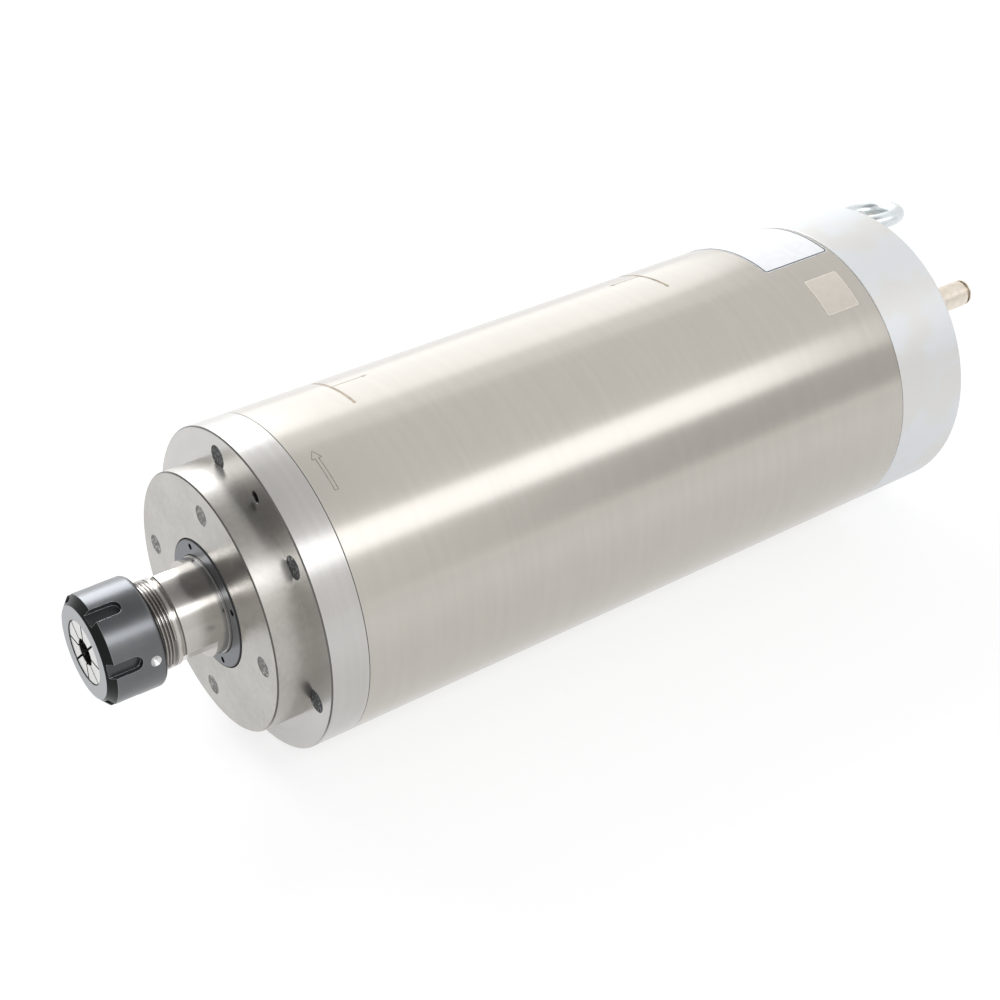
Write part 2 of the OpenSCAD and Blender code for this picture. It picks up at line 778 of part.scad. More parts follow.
module shaft() {
    mouth = collet_r(spindle_end) + run;
    taper_end = collet_end + 2;
    bore_r = collet_r(taper_end) - 1;
    bore_end = flange_back - 12;
    collar_r = inner_land(front_bearing) - 0.2;
    turn_r = core_seat_d / 2;
    step_r = rear_bore_d / 2 + 3.5;
    band_r = thread_crest_d / 2 - 0.2;
    seat_r = front_bore_d / 2;
    step = (seat_r - neck_d / 2) / 2;
    color("silver") difference() {
        revolve([[mouth, spindle_end], [thread_core_d / 2 - 1, spindle_end],
            [thread_core_d / 2, spindle_end + 1], [thread_core_d / 2, neck_face - band_w],
            [band_r, neck_face - band_w], [band_r, neck_face], [neck_d / 2 - 0.5, neck_face],
            [neck_d / 2, neck_face + 0.5], [neck_d / 2, seat_face], [seat_r - step, seat_face],
            [seat_r, seat_face + step], [seat_r, front_end], [collar_r, front_end],
            [collar_r, front_end + shaft_collar_len], [turn_r, front_end + shaft_collar_len],
            [turn_r, hub_front + 2], [step_r, hub_front + 2], [step_r, rear_a],
            [rear_bore_d / 2, rear_a], [rear_bore_d / 2, shaft_end - 1],
            [rear_bore_d / 2 - 1, shaft_end], [0, shaft_end], [0, bore_end + bore_r * 0.6],
            [bore_r, bore_end], [bore_r, taper_end], [collet_r(taper_end) + run, taper_end]]);
        for (a = [45, 225]) polar(a, flats_across / 2, neck_face)
            translate([-neck_d / 2, 0, 0]) cube([neck_d, flats_len, 10]);
    }
}

module dust_ring() {
    out_r = ring_d / 2;
    hub = front_bore_d / 2 + 4;
    bore_r = front_bore_d / 2 + fit;
    color("lightslategray") difference() {
        revolve([[bore_r + 0.3, ring_face], [out_r - 0.4, ring_face], [out_r, ring_face + 0.4],
            [out_r, -3 - seal_gap], [hub, -3 - seal_gap], [hub, front_a], [bore_r, front_a],
            [bore_r, ring_face + 0.3]]);
        for (y = [cover_face + 3, cover_face + 6, cover_face + 11])
            ring(out_r - 1.2, out_r + over, y, y + 1.5);
        around(4, ring_pcd / 2, ring_face, clock + 7) rod(ring_hole_d / 2, -over, 4);
    }
}

module rear_locknut() {
    color("gray") difference() {
        soft_ring(rear_bore_d / 2 + fit, locknut_r, rear_end, rear_end + locknut_t, 0.6);
        around(4, locknut_r - 2, rear_end) translate([-2.5, -over, 0])
            cube([5, locknut_t + 2 * over, 6]);
    }
}

// Collet chuck

module collet() {
    bore_r = collet_bore_d / 2;
    lip_end = collet_face + front_cone + lip_land;
    rear_r = collet_r(collet_end);
    color("silver") difference() {
        revolve([[bore_r + 0.4, collet_face], [collet_face_r, collet_face],
            [collet_lip_r, collet_face + front_cone], [collet_lip_r, lip_end], [groove_r, lip_end],
            [groove_r, lip_end + groove_w], [collet_d / 2 - 0.6, lip_end + groove_w],
            [collet_d / 2, shoulder_y - 0.4], [collet_d / 2, shoulder_y],
            [rear_r + 0.5 * taper, collet_end - 0.5], [rear_r - 0.5, collet_end],
            [bore_r + 0.4, collet_end], [bore_r, collet_end - 0.4], [bore_r, collet_face + 0.4]]);
        for (i = [0 : slit_count - 1]) {
            polar(i * 360 / slit_count, 0, collet_face - over) translate([-slit_w / 2, 0, 0])
                cube([slit_w, collet_len - collet_rear_ring + over, collet_d]);
            polar((i + 0.5) * 360 / slit_count, 0, collet_face + collet_front_ring)
                translate([-slit_w / 2, 0, 0]) cube([slit_w, collet_len, collet_d]);
        }
    }
}

module collet_nut() {
    r = nut_d / 2;
    face_r = nut_face_d / 2;
    lip_end = collet_face + front_cone + lip_land;
    cone_gap = run / cos(30);
    face_gap_r = collet_face_r + cone_gap - collet_sink * tan(30) + 0.6;
    outline = concat(
        [[face_gap_r, nut_face], [face_r, nut_face], [r, nut_face + (r - face_r) * 0.85]],
        arc(r - nut_round, nut_back - nut_round, nut_round, 0, 90, 5),
        [[nut_bore_r + 0.8, nut_back], [nut_bore_r, nut_back - 0.8],
            [nut_bore_r, spindle_end - 0.5], [collet_d / 2 + 0.5, spindle_end - 0.5],
            [collet_d / 2 + 0.5, lip_end + groove_w - 0.2], [groove_r + 0.4, lip_end + groove_w - 0.2],
            [groove_r + 0.4, lip_end + 0.2], [collet_lip_r + cone_gap, lip_end + 0.2],
            [collet_lip_r + cone_gap, collet_face + front_cone],
            [face_gap_r, collet_face + (face_gap_r - collet_face_r - cone_gap) / tan(30)]]);
    slot_mid = nut_face + slot_len - slot_w / 2;
    color([0.2, 0.21, 0.23]) difference() {
        revolve(outline);
        for (i = [0 : 5]) polar(slot_angle + 60 * i, r - slot_depth, nut_face) {
            translate([-slot_w / 2, -over, 0]) cube([slot_w, slot_len - slot_w / 2 + over, 10]);
            translate([0, slot_len - slot_w / 2, 0]) cylinder(d = slot_w, h = 10);
        }
        polar(slot_angle - 65.4, r - dimple_d / 2, nut_back - dimple_back)
            cylinder(d1 = 0, d2 = dimple_d + 2 * over, h = dimple_d / 2 + over);
    }
}

// Water fittings

module fitting_body() {
    collar_out = collar_bore_r + collar_wall;
    seat_floor = fitting_end - collar_len - 3 - hose_seat_len;
    socket_r = collar_out + 0.25;
    color("wheat") revolve([[port_r, cap_face - fitting_thread_len],
        [thread_r - 0.6 - fit, cap_face - fitting_thread_len],
        [thread_r - fit, cap_face - fitting_thread_len + 0.6], [thread_r - fit, cap_face],
        [fitting_d / 2 - 0.3, cap_face], [fitting_d / 2, cap_face + 0.3],
        [fitting_d / 2, fitting_body_end - 0.6], [fitting_d / 2 - 0.6, fitting_body_end],
        [socket_r, fitting_body_end], [socket_r, fitting_end - collar_len - 3],
        [collar_bore_r, fitting_end - collar_len - 3], [collar_bore_r, seat_floor],
        [port_r, seat_floor]]);
}

module fitting_collar() {
    collar_out = collar_bore_r + collar_wall;
    color("tan") revolve([[collar_bore_r, fitting_end - collar_len],
        [collar_out, fitting_end - collar_len], [collar_out, fitting_end - collar_flange],
        [collar_r, fitting_end - collar_flange], [collar_r, fitting_end - 0.5],
        [collar_r - 0.5, fitting_end], [collar_bore_r + 0.4, fitting_end],
        [collar_bore_r, fitting_end - 0.4]]);
}

module fitting_seals() {
    cord = 1.0;
    color("black") for (a = fitting_top_angles) polar(clock + a, fitting_r)
        seal(collar_bore_r + cord / 2 + 0.05, fitting_end - collar_len - 3 + cord / 2 + 0.05, cord);
}

// Eyebolt with its foot on the rear face and its thread in the cap

module eyebolt() {
    mid_r = (eye_d - eye_t) / 2;
    ring_low = eye_height - mid_r;
    color("gainsboro") polar(eye_angle, eye_r, cap_face) rotate([0, eye_angle - eye_turn, 0]) {
        translate([0, eye_height, 0]) rotate_extrude($fn = 64) translate([mid_r, 0])
            circle(d = eye_t, $fn = 48);
        revolve([[0, -eye_thread_len], [eye_thread_d / 2 - 0.8, -eye_thread_len],
            [eye_thread_d / 2 - fit, 0.8 - eye_thread_len], [eye_thread_d / 2 - fit, 0],
            [eye_foot_d / 2 - 0.6, 0], [eye_foot_d / 2, 0.6], [eye_foot_d / 2, 2.4],
            [eye_t / 2 + 1.6, ring_low - 1.6], [eye_t / 2 - 0.8, ring_low], [0, ring_low]]);
    }
}

// Connector on the rear face

module connector_shell() {
    hole = socket_screw_d / 2 + 0.3;
    color("lightgray") difference() {
        union() {
            revolve([[socket_in, insert_back], [socket_tail_r, insert_back],
                [socket_tail_r, socket_base + 1], [socket_d / 2, socket_base + 1],
                [socket_d / 2, socket_top - 0.6], [socket_d / 2 - 0.6, socket_top],
                [socket_in, socket_top]]);
            difference() {
                translate([-socket_flange / 2, socket_base, -socket_flange / 2])
                    cube([socket_flange, socket_flange_t, socket_flange]);
                rod(socket_in + 0.5, socket_base - over, socket_base + socket_flange_t + over);
            }
        }
        for (x = [-1, 1], z = [-1, 1]) translate([x * socket_screw_pos, 0, z * socket_screw_pos])
            rod(hole, socket_base - over, socket_base + socket_flange_t + over);
    }
}

module connector_insert() {
    color("black") difference() {
        rod(socket_in - fit, insert_back, insert_face);
        around(4, pin_pcd / 2, 0, 45) rod(pin_d / 2 + fit, insert_back - over, insert_face + over);
    }
}

module connector_pins() {
    color("gold") around(4, pin_pcd / 2, 0, 45)
        revolve([[0, cup_back], [pin_d / 2, cup_back], [pin_d / 2, pin_top - 1],
            [pin_d / 2 - 0.8, pin_top], [0, pin_top]]);
}

module connector_gasket() {
    color("black") difference() {
        translate([-socket_flange / 2, cap_face, -socket_flange / 2])
            cube([socket_flange, gasket_t, socket_flange]);
        rod(socket_tail_r + 0.3, cap_face - over, cap_face + gasket_t + over);
        for (x = [-1, 1], z = [-1, 1]) translate([x * socket_screw_pos, 0, z * socket_screw_pos])
            rod(socket_screw_d / 2 + 0.3, cap_face - over, cap_face + gasket_t + over);
    }
}

module connector_screws() {
    head_h = 3;
    length = socket_flange_t + gasket_t + 8;
    color("dimgray") for (x = [-1, 1], z = [-1, 1])
        translate([x * socket_screw_pos, socket_base + socket_flange_t + head_h, z * socket_screw_pos])
            rotate([180, 0, 0]) socket_screw(socket_screw_d, socket_screw_d * 0.87, head_h, length);
}

front_housing();
front_cover();
barrel();
water_jacket();
stator_core();
stator_winding();
lead_wires();
rear_bracket();
rear_bearing_seat();
preload_springs();
bearing_retainer();
rear_cap();
seal_rings();
flange_screws();
flange_fills();
cover_screws();
cover_fills();
cap_screws();
outer_ring(front_bearing, front_a, 1);  // front_outer_ring_1
outer_ring(front_bearing, front_b, -1);  // front_outer_ring_2
outer_spacer(front_bearing, front_a + front_w, front_gap);  // front_outer_spacer
outer_ring(rear_bearing, rear_a, 1);  // rear_outer_ring_1
outer_ring(rear_bearing, rear_b, -1);  // rear_outer_ring_2
outer_spacer(rear_bearing, rear_a + rear_w, rear_gap);  // rear_outer_spacer
eyebolt();
polar(clock + fitting_top_angles[0], fitting_r) fitting_body();  // inlet_fitting
polar(clock + fitting_top_angles[1], fitting_r) fitting_body();  // outlet_fitting
fitting_seals();
connector_shell();
connector_insert();
connector_pins();
connector_gasket();
connector_screws();
shaft();
dust_ring();
inner_ring(front_bearing, front_a);  // front_inner_ring_1
inner_ring(front_bearing, front_b);  // front_inner_ring_2
inner_spacer(front_bearing, front_a + front_w, front_gap);  // front_inner_spacer
inner_ring(rear_bearing, rear_a);  // rear_inner_ring_1
inner_ring(rear_bearing, rear_b);  // rear_inner_ring_2
inner_spacer(rear_bearing, rear_a + rear_w, rear_gap);  // rear_inner_spacer
rear_locknut();
rotor_core();
rotor_cage();
balance_rings();
balls(front_bearing, front_a);  // front_balls_1
balls(front_bearing, front_b);  // front_balls_2
cage(front_bearing, front_a);  // front_cage_1
cage(front_bearing, front_b);  // front_cage_2
balls(rear_bearing, rear_a);  // rear_balls_1
balls(rear_bearing, rear_b);  // rear_balls_2
cage(rear_bearing, rear_a);  // rear_cage_1
cage(rear_bearing, rear_b);  // rear_cage_2
collet();
collet_nut();
polar(clock + fitting_top_angles[0], fitting_r) fitting_collar();  // inlet_collar
polar(clock + fitting_top_angles[1], fitting_r) fitting_collar();  // outlet_collar
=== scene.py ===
"""Looks of the motor spindle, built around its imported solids."""

import json
import math

import bmesh
import bpy
from bpy.props import FloatProperty, FloatVectorProperty, PointerProperty
from mathutils import Matrix, Vector

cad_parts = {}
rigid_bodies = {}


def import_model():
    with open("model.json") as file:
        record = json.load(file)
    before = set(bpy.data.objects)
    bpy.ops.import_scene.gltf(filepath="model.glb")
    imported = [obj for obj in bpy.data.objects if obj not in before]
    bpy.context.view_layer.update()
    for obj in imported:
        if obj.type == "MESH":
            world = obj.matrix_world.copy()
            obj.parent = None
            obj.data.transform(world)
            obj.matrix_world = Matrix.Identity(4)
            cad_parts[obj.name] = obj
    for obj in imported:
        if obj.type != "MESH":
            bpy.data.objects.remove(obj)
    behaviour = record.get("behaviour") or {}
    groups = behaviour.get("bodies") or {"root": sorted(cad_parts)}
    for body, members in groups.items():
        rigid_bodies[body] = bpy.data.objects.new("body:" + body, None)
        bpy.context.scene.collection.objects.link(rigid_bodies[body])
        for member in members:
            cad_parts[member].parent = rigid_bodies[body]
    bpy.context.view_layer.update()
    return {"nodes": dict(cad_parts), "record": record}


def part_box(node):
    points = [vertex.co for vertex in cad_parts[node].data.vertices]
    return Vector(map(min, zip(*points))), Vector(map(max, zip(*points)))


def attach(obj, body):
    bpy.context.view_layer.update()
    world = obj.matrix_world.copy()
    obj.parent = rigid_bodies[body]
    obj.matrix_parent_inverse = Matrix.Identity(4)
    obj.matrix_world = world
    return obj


bl_info = {
    "name": "Motor spindle looks",
    "version": (1, 0, 0),
    "blender": (4, 5, 0),
    "location": "3D View > Sidebar > Spindle",
    "description": "Finishes, nose thread, marks, labels and studio for the packed motor spindle",
    "category": "Object",
}

for item in list(bpy.data.objects):
    bpy.data.objects.remove(item)
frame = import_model()
NODES = frame["nodes"]
SLOT_OF = {row["node"]: row["material_slot"] for row in frame["record"]["subparts"]}
SLOT_COLOUR = {row["slot"]: row["base_color"] for row in frame["record"]["materials"]}

MM = 0.001
MICRON = 1e-6
BODY_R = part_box("barrel")[1].z
SEAM_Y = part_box("barrel")[0].y
CAP_SEAM_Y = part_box("barrel")[1].y
THREAD_END_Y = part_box("shaft")[0].y
NUT_FACE_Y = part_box("collet_nut")[0].y
NUT_BACK_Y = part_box("collet_nut")[1].y

# Forms of the part's source that a finish follows
NUT_FACE_R = 21 * MM
NUT_WALL_R = 25 * MM
NUT_CONE_SLOPE = 0.85
DIMPLE_ANGLE = -85.4
DIMPLE_BOTTOM_R = 23.6 * MM
DIMPLE_Y = NUT_BACK_Y - 5.4 * MM
DIMPLE_SIZE = 2.7 * MM
COVER_RIM_R = 60 * MM
# Painted shade inside the first radius and none from the second one on, up to a station
THREAD_ROOT_SHADE = (19.2 * MM, 19.5 * MM, -41.4 * MM)
COLLET_BORE_SHADE = (6.05 * MM, 6.2 * MM, 0.0)

# Marks, with angles in degrees from the top
ARROW_TAIL, ARROW_NECK, ARROW_TIP = -32.0, -19.2, -15.9
ARROW_STATION = 27.7 * MM
LEADER_LENGTH = 18.3 * MM
BARB_LENGTH, BARB_WIDTH = 2.6 * MM, 0.9 * MM
# Depth under the barrel's surface of the foot and the top of a seam's dark line
SEAM_DEPTHS = (0.32 * MM, 0.15 * MM)
FLOOR_GAP = 0.2 * MM


# Shader maths


class Value:
    """An output socket of a finish; arithmetic on it adds Math nodes."""

    def __init__(self, finish, node, output=0):
        self.finish = finish
        self.node = node
        self.socket = node.outputs[output]

    def out(self, output):
        return Value(self.finish, self.node, output)

    def __add__(self, other):
        return self.finish.math("ADD", self, other)

    def __sub__(self, other):
        return self.finish.math("SUBTRACT", self, other)

    def __rsub__(self, other):
        return self.finish.math("SUBTRACT", other, self)

    def __mul__(self, other):
        return self.finish.math("MULTIPLY", self, other)

    def __truediv__(self, other):
        return self.finish.math("DIVIDE", self, other)

    def __pow__(self, other):
        return self.finish.math("POWER", self, other)

    def above(self, low, high):
        """0 below low, 1 above high, smooth between them."""
        return self.finish.node(
            "MapRange",
            {"interpolation_type": "SMOOTHSTEP"},
            {"Value": self, "From Min": low, "From Max": high},
        )


class Finish:
    """One procedural material, built node by node, or the world around the object."""

    def __init__(self, name, world=False):
        self.material = (bpy.data.worlds if world else bpy.data.materials).new(name)
        self.material.use_nodes = True
        self.tree = self.material.node_tree
        self.shader = self.tree.nodes["Background" if world else "Principled BSDF"]
        self.place = None

    def node(self, kind, settings=None, sockets=None, output=0):
        """Adds a node: its settings first, then the values or links of its sockets."""
        made = self.tree.nodes.new("ShaderNode" + kind)
        for name, value in (settings or {}).items():
            setattr(made, name, value)
        self.fill(made, sockets or {})
        return Value(self, made, output)

    def fill(self, node, sockets):
        for name, value in sockets.items():
            if isinstance(value, Value):
                self.tree.links.new(value.socket, node.inputs[name])
            elif value is not None:
                node.inputs[name].default_value = value

    def math(self, operation, *values):
        return self.node("Math", {"operation": operation}, dict(enumerate(values)))

    def mix(self, factor, low, high):
        """A colour between two colours."""
        low, high = (end if isinstance(end, Value) else (*end, 1) for end in (low, high))
        return self.node("Mix", {"data_type": "RGBA"}, {0: factor, 6: low, 7: high}, output=2)

    def tones(self, factor, colour, low, high):
        """A tone of the colour between two factors of its brightness."""
        return self.mix(factor, tone(colour, low), tone(colour, high))

    def coords(self):
        """Object coordinates, which turn with the piece."""
        if self.place is None:
            self.place = self.node("TexCoord", output="Object")
        return self.place

    def apart(self, vector):
        """The three parts of a vector, for out("X") and so on."""
        return self.node("SeparateXYZ", sockets={0: vector})

    def along(self):
        """Station along the spindle axis."""
        return self.apart(self.coords()).out("Y")

    def height(self):
        """Height over the spindle axis."""
        return self.apart(self.coords()).out("Z")

    def radius(self):
        """Distance from the spindle axis."""
        place = self.apart(self.coords())
        x, z = place.out("X"), place.out("Z")
        return (x * x + z * z) ** 0.5

    def chamfers(self, shade, colour):
        """The shade, with painted dark reflections on the chamfers that face the nose, except near
        the floor.
        """
        facing = 0 - self.apart(self.node("TexCoord", output="Normal")).out("Y")
        slanted = facing.above(0.5, 0.6) * (1 - facing.above(0.79, 0.84))
        over_floor = self.height().above(-45 * MM, -25 * MM) * 0.85 + 0.15
        return self.mix(slanted * over_floor, shade, colour)

    def noise(self, place, scale, detail, w=0.0):
        return self.node(
            "TexNoise",
            {"noise_dimensions": "4D"},
            {"Vector": place, "W": w, "Scale": scale, "Detail": detail, "Roughness": 0.5},
        )

    def cloud(self, size, detail=2.0):
        """Soft patches about this many metres across."""
        return self.noise(self.coords(), 1 / size, detail)

    def lathe(self, lines, sweep, detail=2.0):
        """Lathe marks: bands on walls and rings on faces, lines to the metre."""
        place, radius = self.apart(self.coords()), self.radius()
        wrapped_place = self.node(
            "CombineXYZ",
            sockets={
                "X": place.out("X") / radius * sweep,
                "Y": place.out("Y") * lines,
                "Z": place.out("Z") / radius * sweep,
            },
        )
        return self.noise(wrapped_place, 1.0, detail, w=radius * lines)

    def stretched(self, lines, detail=2.0):
        """Noise with its own number of lines to the metre along X, Y and Z."""
        place = self.node("VectorMath", {"operation": "MULTIPLY"}, {0: self.coords(), 1: lines})
        return self.noise(place, 1.0, detail)

    def seen(self):
        """1 where the camera, a mirror or glass looks at the surface, 0 where it gives light."""
        path = self.node("LightPath")
        direct = self.math("MAXIMUM", path.out("Is Camera Ray"), path.out("Is Glossy Ray"))
        return self.math("MAXIMUM", direct, path.out("Is Transmission Ray"))

    def bump(self, height, depth, normal=None):
        return self.node("Bump", sockets={"Height": height, "Distance": depth, "Normal": normal})

    def shade(self, **sockets):
        """Sets or links the sockets of the surface shader, such as base_color."""
        titles = {name.replace("_", " ").title(): value for name, value in sockets.items()}
        self.fill(self.shader, titles)
        return self.material


def polar(angle, radius, station):
    """A point at an angle from the top, as the part's source counts it."""
    turn = math.radians(angle)
    return Vector((-radius * math.sin(turn), station, radius * math.cos(turn)))


def tone(colour, factor):
    """The colour brighter or darker by a factor, and never over white."""
    return [min(1.0, part * factor) for part in colour]


# Finishes, each for one kind of surface


def turned_steel(
    name,
    colour,
    rough=0.2,
    depth=12 * MICRON,
    pitch=0.45 * MM,
    patchy=0.04,
    uneven=0.08,
    inner=None,
    worn=1.0,
):
    """Turned or ground metal: fine marks round the axis, faint bands and smudges.

    inner is a place such as the thread roots that gets painted shade; the last argument is the
    tone of the painted dark reflections on the chamfers that face the nose.
    """
    finish = Finish(name)
    fine = finish.lathe(1 / pitch, 2.5, detail=3)
    bands = finish.lathe(0.12 / pitch, 1.2, detail=3)
    smudges = finish.cloud(18 * MM, detail=4)
    mottle = bands * 0.6 + smudges * 0.4
    shade = finish.tones(mottle.above(0.3, 0.7), colour, 1 - patchy, 1 + patchy)
    # Painted shade in the hollow that inner gives, such as the thread roots
    if inner:
        low, high, end = inner
        outside = finish.radius().above(low, high)
        behind = finish.along().above(end, end + 0.2 * MM)
        outer = finish.math("MAXIMUM", outside, behind)
        shade = finish.mix(outer, tone(colour, 0.3), shade)
    # Painted dark reflections on the chamfers that face the nose
    if worn < 1:
        shade = finish.chamfers(shade, tone(colour, worn))
    return finish.shade(
        base_color=shade,
        metallic=1.0,
        roughness=(smudges + bands) * uneven + (rough - uneven),
        normal=finish.bump(fine, depth),
    )


def satin_face(name, colour, rough=0.34, patchy=0.06, rim=1.0):
    """Ground steel face: rings so fine that they only soften, with cloudy patches."""
    finish = Finish(name)
    rings = finish.lathe(500, 2.0, detail=1)
    clouds = finish.cloud(20 * MM, detail=4)
    specks = finish.cloud(2.5 * MM, detail=1)
    stains = clouds * 0.75 + specks * 0.25
    wall = finish.radius().above(rim - 0.3 * MM, rim - 0.1 * MM)
    shade = finish.tones(stains.above(0.32, 0.68), colour, 1 - patchy, 1 + patchy)
    return finish.shade(
        # Painted dark reflections on the chamfers that face the nose
        base_color=finish.chamfers(shade, tone(colour, 0.25)),
        metallic=1.0,
        roughness=clouds * 0.1 + wall * 0.08 + (rough - 0.05),
        normal=finish.bump(rings * 0.6 + specks * 0.4, 4 * MICRON),
    )


def matte_aluminium(name, colour):
    """Finely turned and blasted aluminium, pale, with cloudy oxide."""
    finish = Finish(name)
    warm, cool = (0.97, 0.958, 0.945), (0.985, 1.005, 1.04)
    rings = finish.lathe(1100, 2.0, detail=3)
    grit = finish.cloud(0.6 * MM, detail=1)
    clouds = finish.cloud(26 * MM, detail=5)
    return finish.shade(
        base_color=finish.mix(
            clouds.above(0.4, 0.6),
            [part * cast for part, cast in zip(colour, warm)],
            [part * cast for part, cast in zip(colour, cool)],
        ),
        metallic=0.8,
        roughness=clouds * 0.2 + 0.4,
        normal=finish.bump(rings * 0.5 + grit * 0.5, 14 * MICRON),
    )


def black_oxide(name, colour, rough=0.34, outside=None, bare=None):
    """Blackened steel: satin and a little oily.

    outside gives the radii of a nut's face and wall, the face's station and the slope of its cone:
    the face is worn paler, the edges get painted highlights, the cone and the slots painted shade.
    bare gives the place, radius and colour of a spot of bare steel.
    """
    finish = Finish(name)
    rings = finish.lathe(2200, 2.0, detail=3)
    clouds = finish.cloud(12 * MM, detail=3)
    pores = finish.cloud(0.4 * MM, detail=2)
    shade = finish.tones(clouds.above(0.3, 0.7), colour, 0.94, 1.06)
    soft = finish.node("Bevel", {"samples": 6}, {"Radius": 0.22 * MM})
    if outside:
        face_r, wall_r, station, slope = outside
        radius, along = finish.radius(), finish.along()
        wall = radius.above(wall_r - 0.25 * MM, wall_r - 0.15 * MM)
        face = 1 - along.above(station + 0.02 * MM, station + 0.1 * MM)
        off_cone = finish.math("ABSOLUTE", radius - (along - station) / slope - face_r)
        # Painted shade: near black on the cone, a half tone in the slots
        cuts = finish.tones(off_cone.above(0.1 * MM, 0.2 * MM), colour, 0.07, 0.5)
        worn_face, painted_edge_highlight = tone(colour, 2.3), tone(colour, 3.2)
        shade = finish.mix(face, finish.mix(wall, cuts, shade), worn_face)
        # Painted highlights along the edges that the bevel finds
        flat = finish.node("NewGeometry", output="Normal")
        even = finish.node("VectorMath", {"operation": "DOT_PRODUCT"}, {0: soft, 1: flat}, "Value")
        shade = finish.mix((1 - even).above(0.01, 0.12), shade, painted_edge_highlight)
    if bare:
        place, size, steel = bare
        spot = finish.node(
            "VectorMath", {"operation": "DISTANCE"}, {0: finish.coords(), 1: place}, "Value"
        )
        shade = finish.mix(spot.above(size, size * 1.03), steel, shade)
    return finish.shade(
        base_color=shade,
        metallic=0.85,
        roughness=clouds * 0.05 + (rough - 0.03),
        normal=finish.bump(rings * 0.6 + pores * 0.4, 4 * MICRON, soft),
    )


def plated(name, colour, rough=0.2, size=6 * MM):
    """Zinc or nickel plate over a plain steel or brass surface."""
    finish = Finish(name)
    clouds = finish.cloud(size, detail=4)
    pores = finish.cloud(size / 8, detail=2)
    return finish.shade(
        base_color=finish.tones(clouds.above(0.3, 0.7), colour, 0.9, 1.06),
        metallic=1.0,
        roughness=clouds * 0.16 + (rough - 0.08),
        normal=finish.bump(clouds * 0.7 + pores * 0.3, 30 * MICRON),
    )


def speckled_resin(name, colour, contrast=4.0):
    """Resin with metal grit, scraped flush with the steel round it."""
    finish = Finish(name)
    grains = finish.node(
        "TexVoronoi", sockets={"Vector": finish.coords(), "Scale": 1500.0}, output="Color"
    )
    flecks = finish.node("SeparateColor", sockets={"Color": grains}).above(0.55, 0.95)
    smear = finish.cloud(2.2 * MM, detail=4)
    return finish.shade(
        base_color=finish.tones(flecks * smear.above(0.35, 0.6), colour, 0.6, contrast),
        metallic=flecks * 0.8,
        roughness=0.62 - flecks * 0.25,
        normal=finish.bump(flecks * 0.5 + smear, 90 * MICRON),
    )


def laminated(name, colour):
    """A stack of varnished sheets half a millimetre thick."""
    finish = Finish(name)
    half_sheet = 0.25 * MM
    sheet = finish.math("PINGPONG", finish.along(), half_sheet) / half_sheet
    gap = 1 - sheet.above(0.08, 0.3)
    clouds = finish.cloud(8 * MM, detail=3)
    return finish.shade(
        base_color=finish.tones(gap * 0.7 + clouds * 0.2, colour, 1.2, 0.5),
        metallic=0.9,
        roughness=clouds * 0.2 + 0.35,
        normal=finish.bump(1 - gap, 40 * MICRON),
    )


def wound_copper(name, colour):
    """Varnished wires that lie side by side, with laced cord over the end turns."""
    finish = Finish(name)
    wires = finish.lathe(900, 14.0, detail=1)
    lay = finish.stretched((300, 40, 300), detail=2)
    return finish.shade(
        base_color=finish.tones((wires * 0.5 + lay * 0.5).above(0.38, 0.62), colour, 0.6, 1.5),
        metallic=0.5,
        roughness=lay * 0.2 + 0.22,
        coat_weight=0.4,
        normal=finish.bump(wires, 250 * MICRON),
    )


def moulded(name, colour, rough=0.4, grain=0.6 * MM):
    """Moulded plastic, resin or rubber with a fine even grain."""
    finish = Finish(name)
    skin = finish.cloud(grain, detail=2)
    clouds = finish.cloud(grain * 14, detail=3)
    return finish.shade(
        base_color=finish.tones(clouds.above(0.3, 0.7), colour, 0.85, 1.2),
        roughness=clouds * 0.14 + (rough - 0.07),
        normal=finish.bump(skin, 20 * MICRON),
    )


def woven_resin(name, colour):
    """Cloth-reinforced resin of the bearing cages: short crossed fibres."""
    finish = Finish(name)
    warp = finish.stretched((2600, 300, 300), detail=1)
    weft = finish.stretched((300, 2600, 300), detail=1)
    fibres = finish.math("MAXIMUM", warp, weft)
    return finish.shade(
        base_color=finish.tones(fibres.above(0.45, 0.7), colour, 0.75, 1.3),
        roughness=fibres * 0.2 + 0.32,
        normal=finish.bump(fibres, 30 * MICRON),
    )


def polished_steel(name, colour):
    """Ground and lapped bearing steel."""
    finish = Finish(name)
    rings = finish.lathe(3200, 2.0, detail=2)
    haze = finish.cloud(6 * MM, detail=3)
    return finish.shade(
        base_color=finish.tones(haze.above(0.3, 0.7), colour, 0.95, 1.04),
        metallic=1.0,
        roughness=haze * 0.08 + 0.06,
        normal=finish.bump(rings, 2 * MICRON),
    )


def printed_film(name, colour, rough=0.4):
    """Blank printed film of a label, with the faint waviness of its glue."""
    finish = Finish(name)
    waves = finish.cloud(4 * MM, detail=2)
    fibre = finish.cloud(0.5 * MM, detail=2)
    return finish.shade(
        base_color=finish.tones(waves.above(0.3, 0.7), colour, 0.97, 1.02),
        roughness=waves * 0.1 + (rough - 0.05),
        normal=finish.bump(waves * 0.8 + fibre * 0.2, 20 * MICRON),
    )


def shaded_cloth(name, front, top):
    """Grey cloth with one tone in front of the nose and another on top, thin at its foot."""
    finish = Finish(name)
    along = finish.along()
    return finish.shade(
        base_color=finish.mix(along.above(-0.35, 0.05), front, top),
        alpha=along.above(-1.0, -0.7),
        roughness=0.8,
        normal=finish.bump(finish.cloud(3 * MM), 20 * MICRON),
    )


def thin_veil(name, colour, share):
    """Grey net that thickens along the axis and thins out towards the floor."""
    finish = Finish(name)
    weave = finish.cloud(3 * MM)
    return finish.shade(
        base_color=finish.tones(weave.above(0.3, 0.7), colour, 0.95, 1.05),
        alpha=finish.along().above(0.62, 1.0) * finish.height().above(-0.07, 0.2) * share,
        roughness=0.8,
        normal=finish.bump(weave, 20 * MICRON),
    )


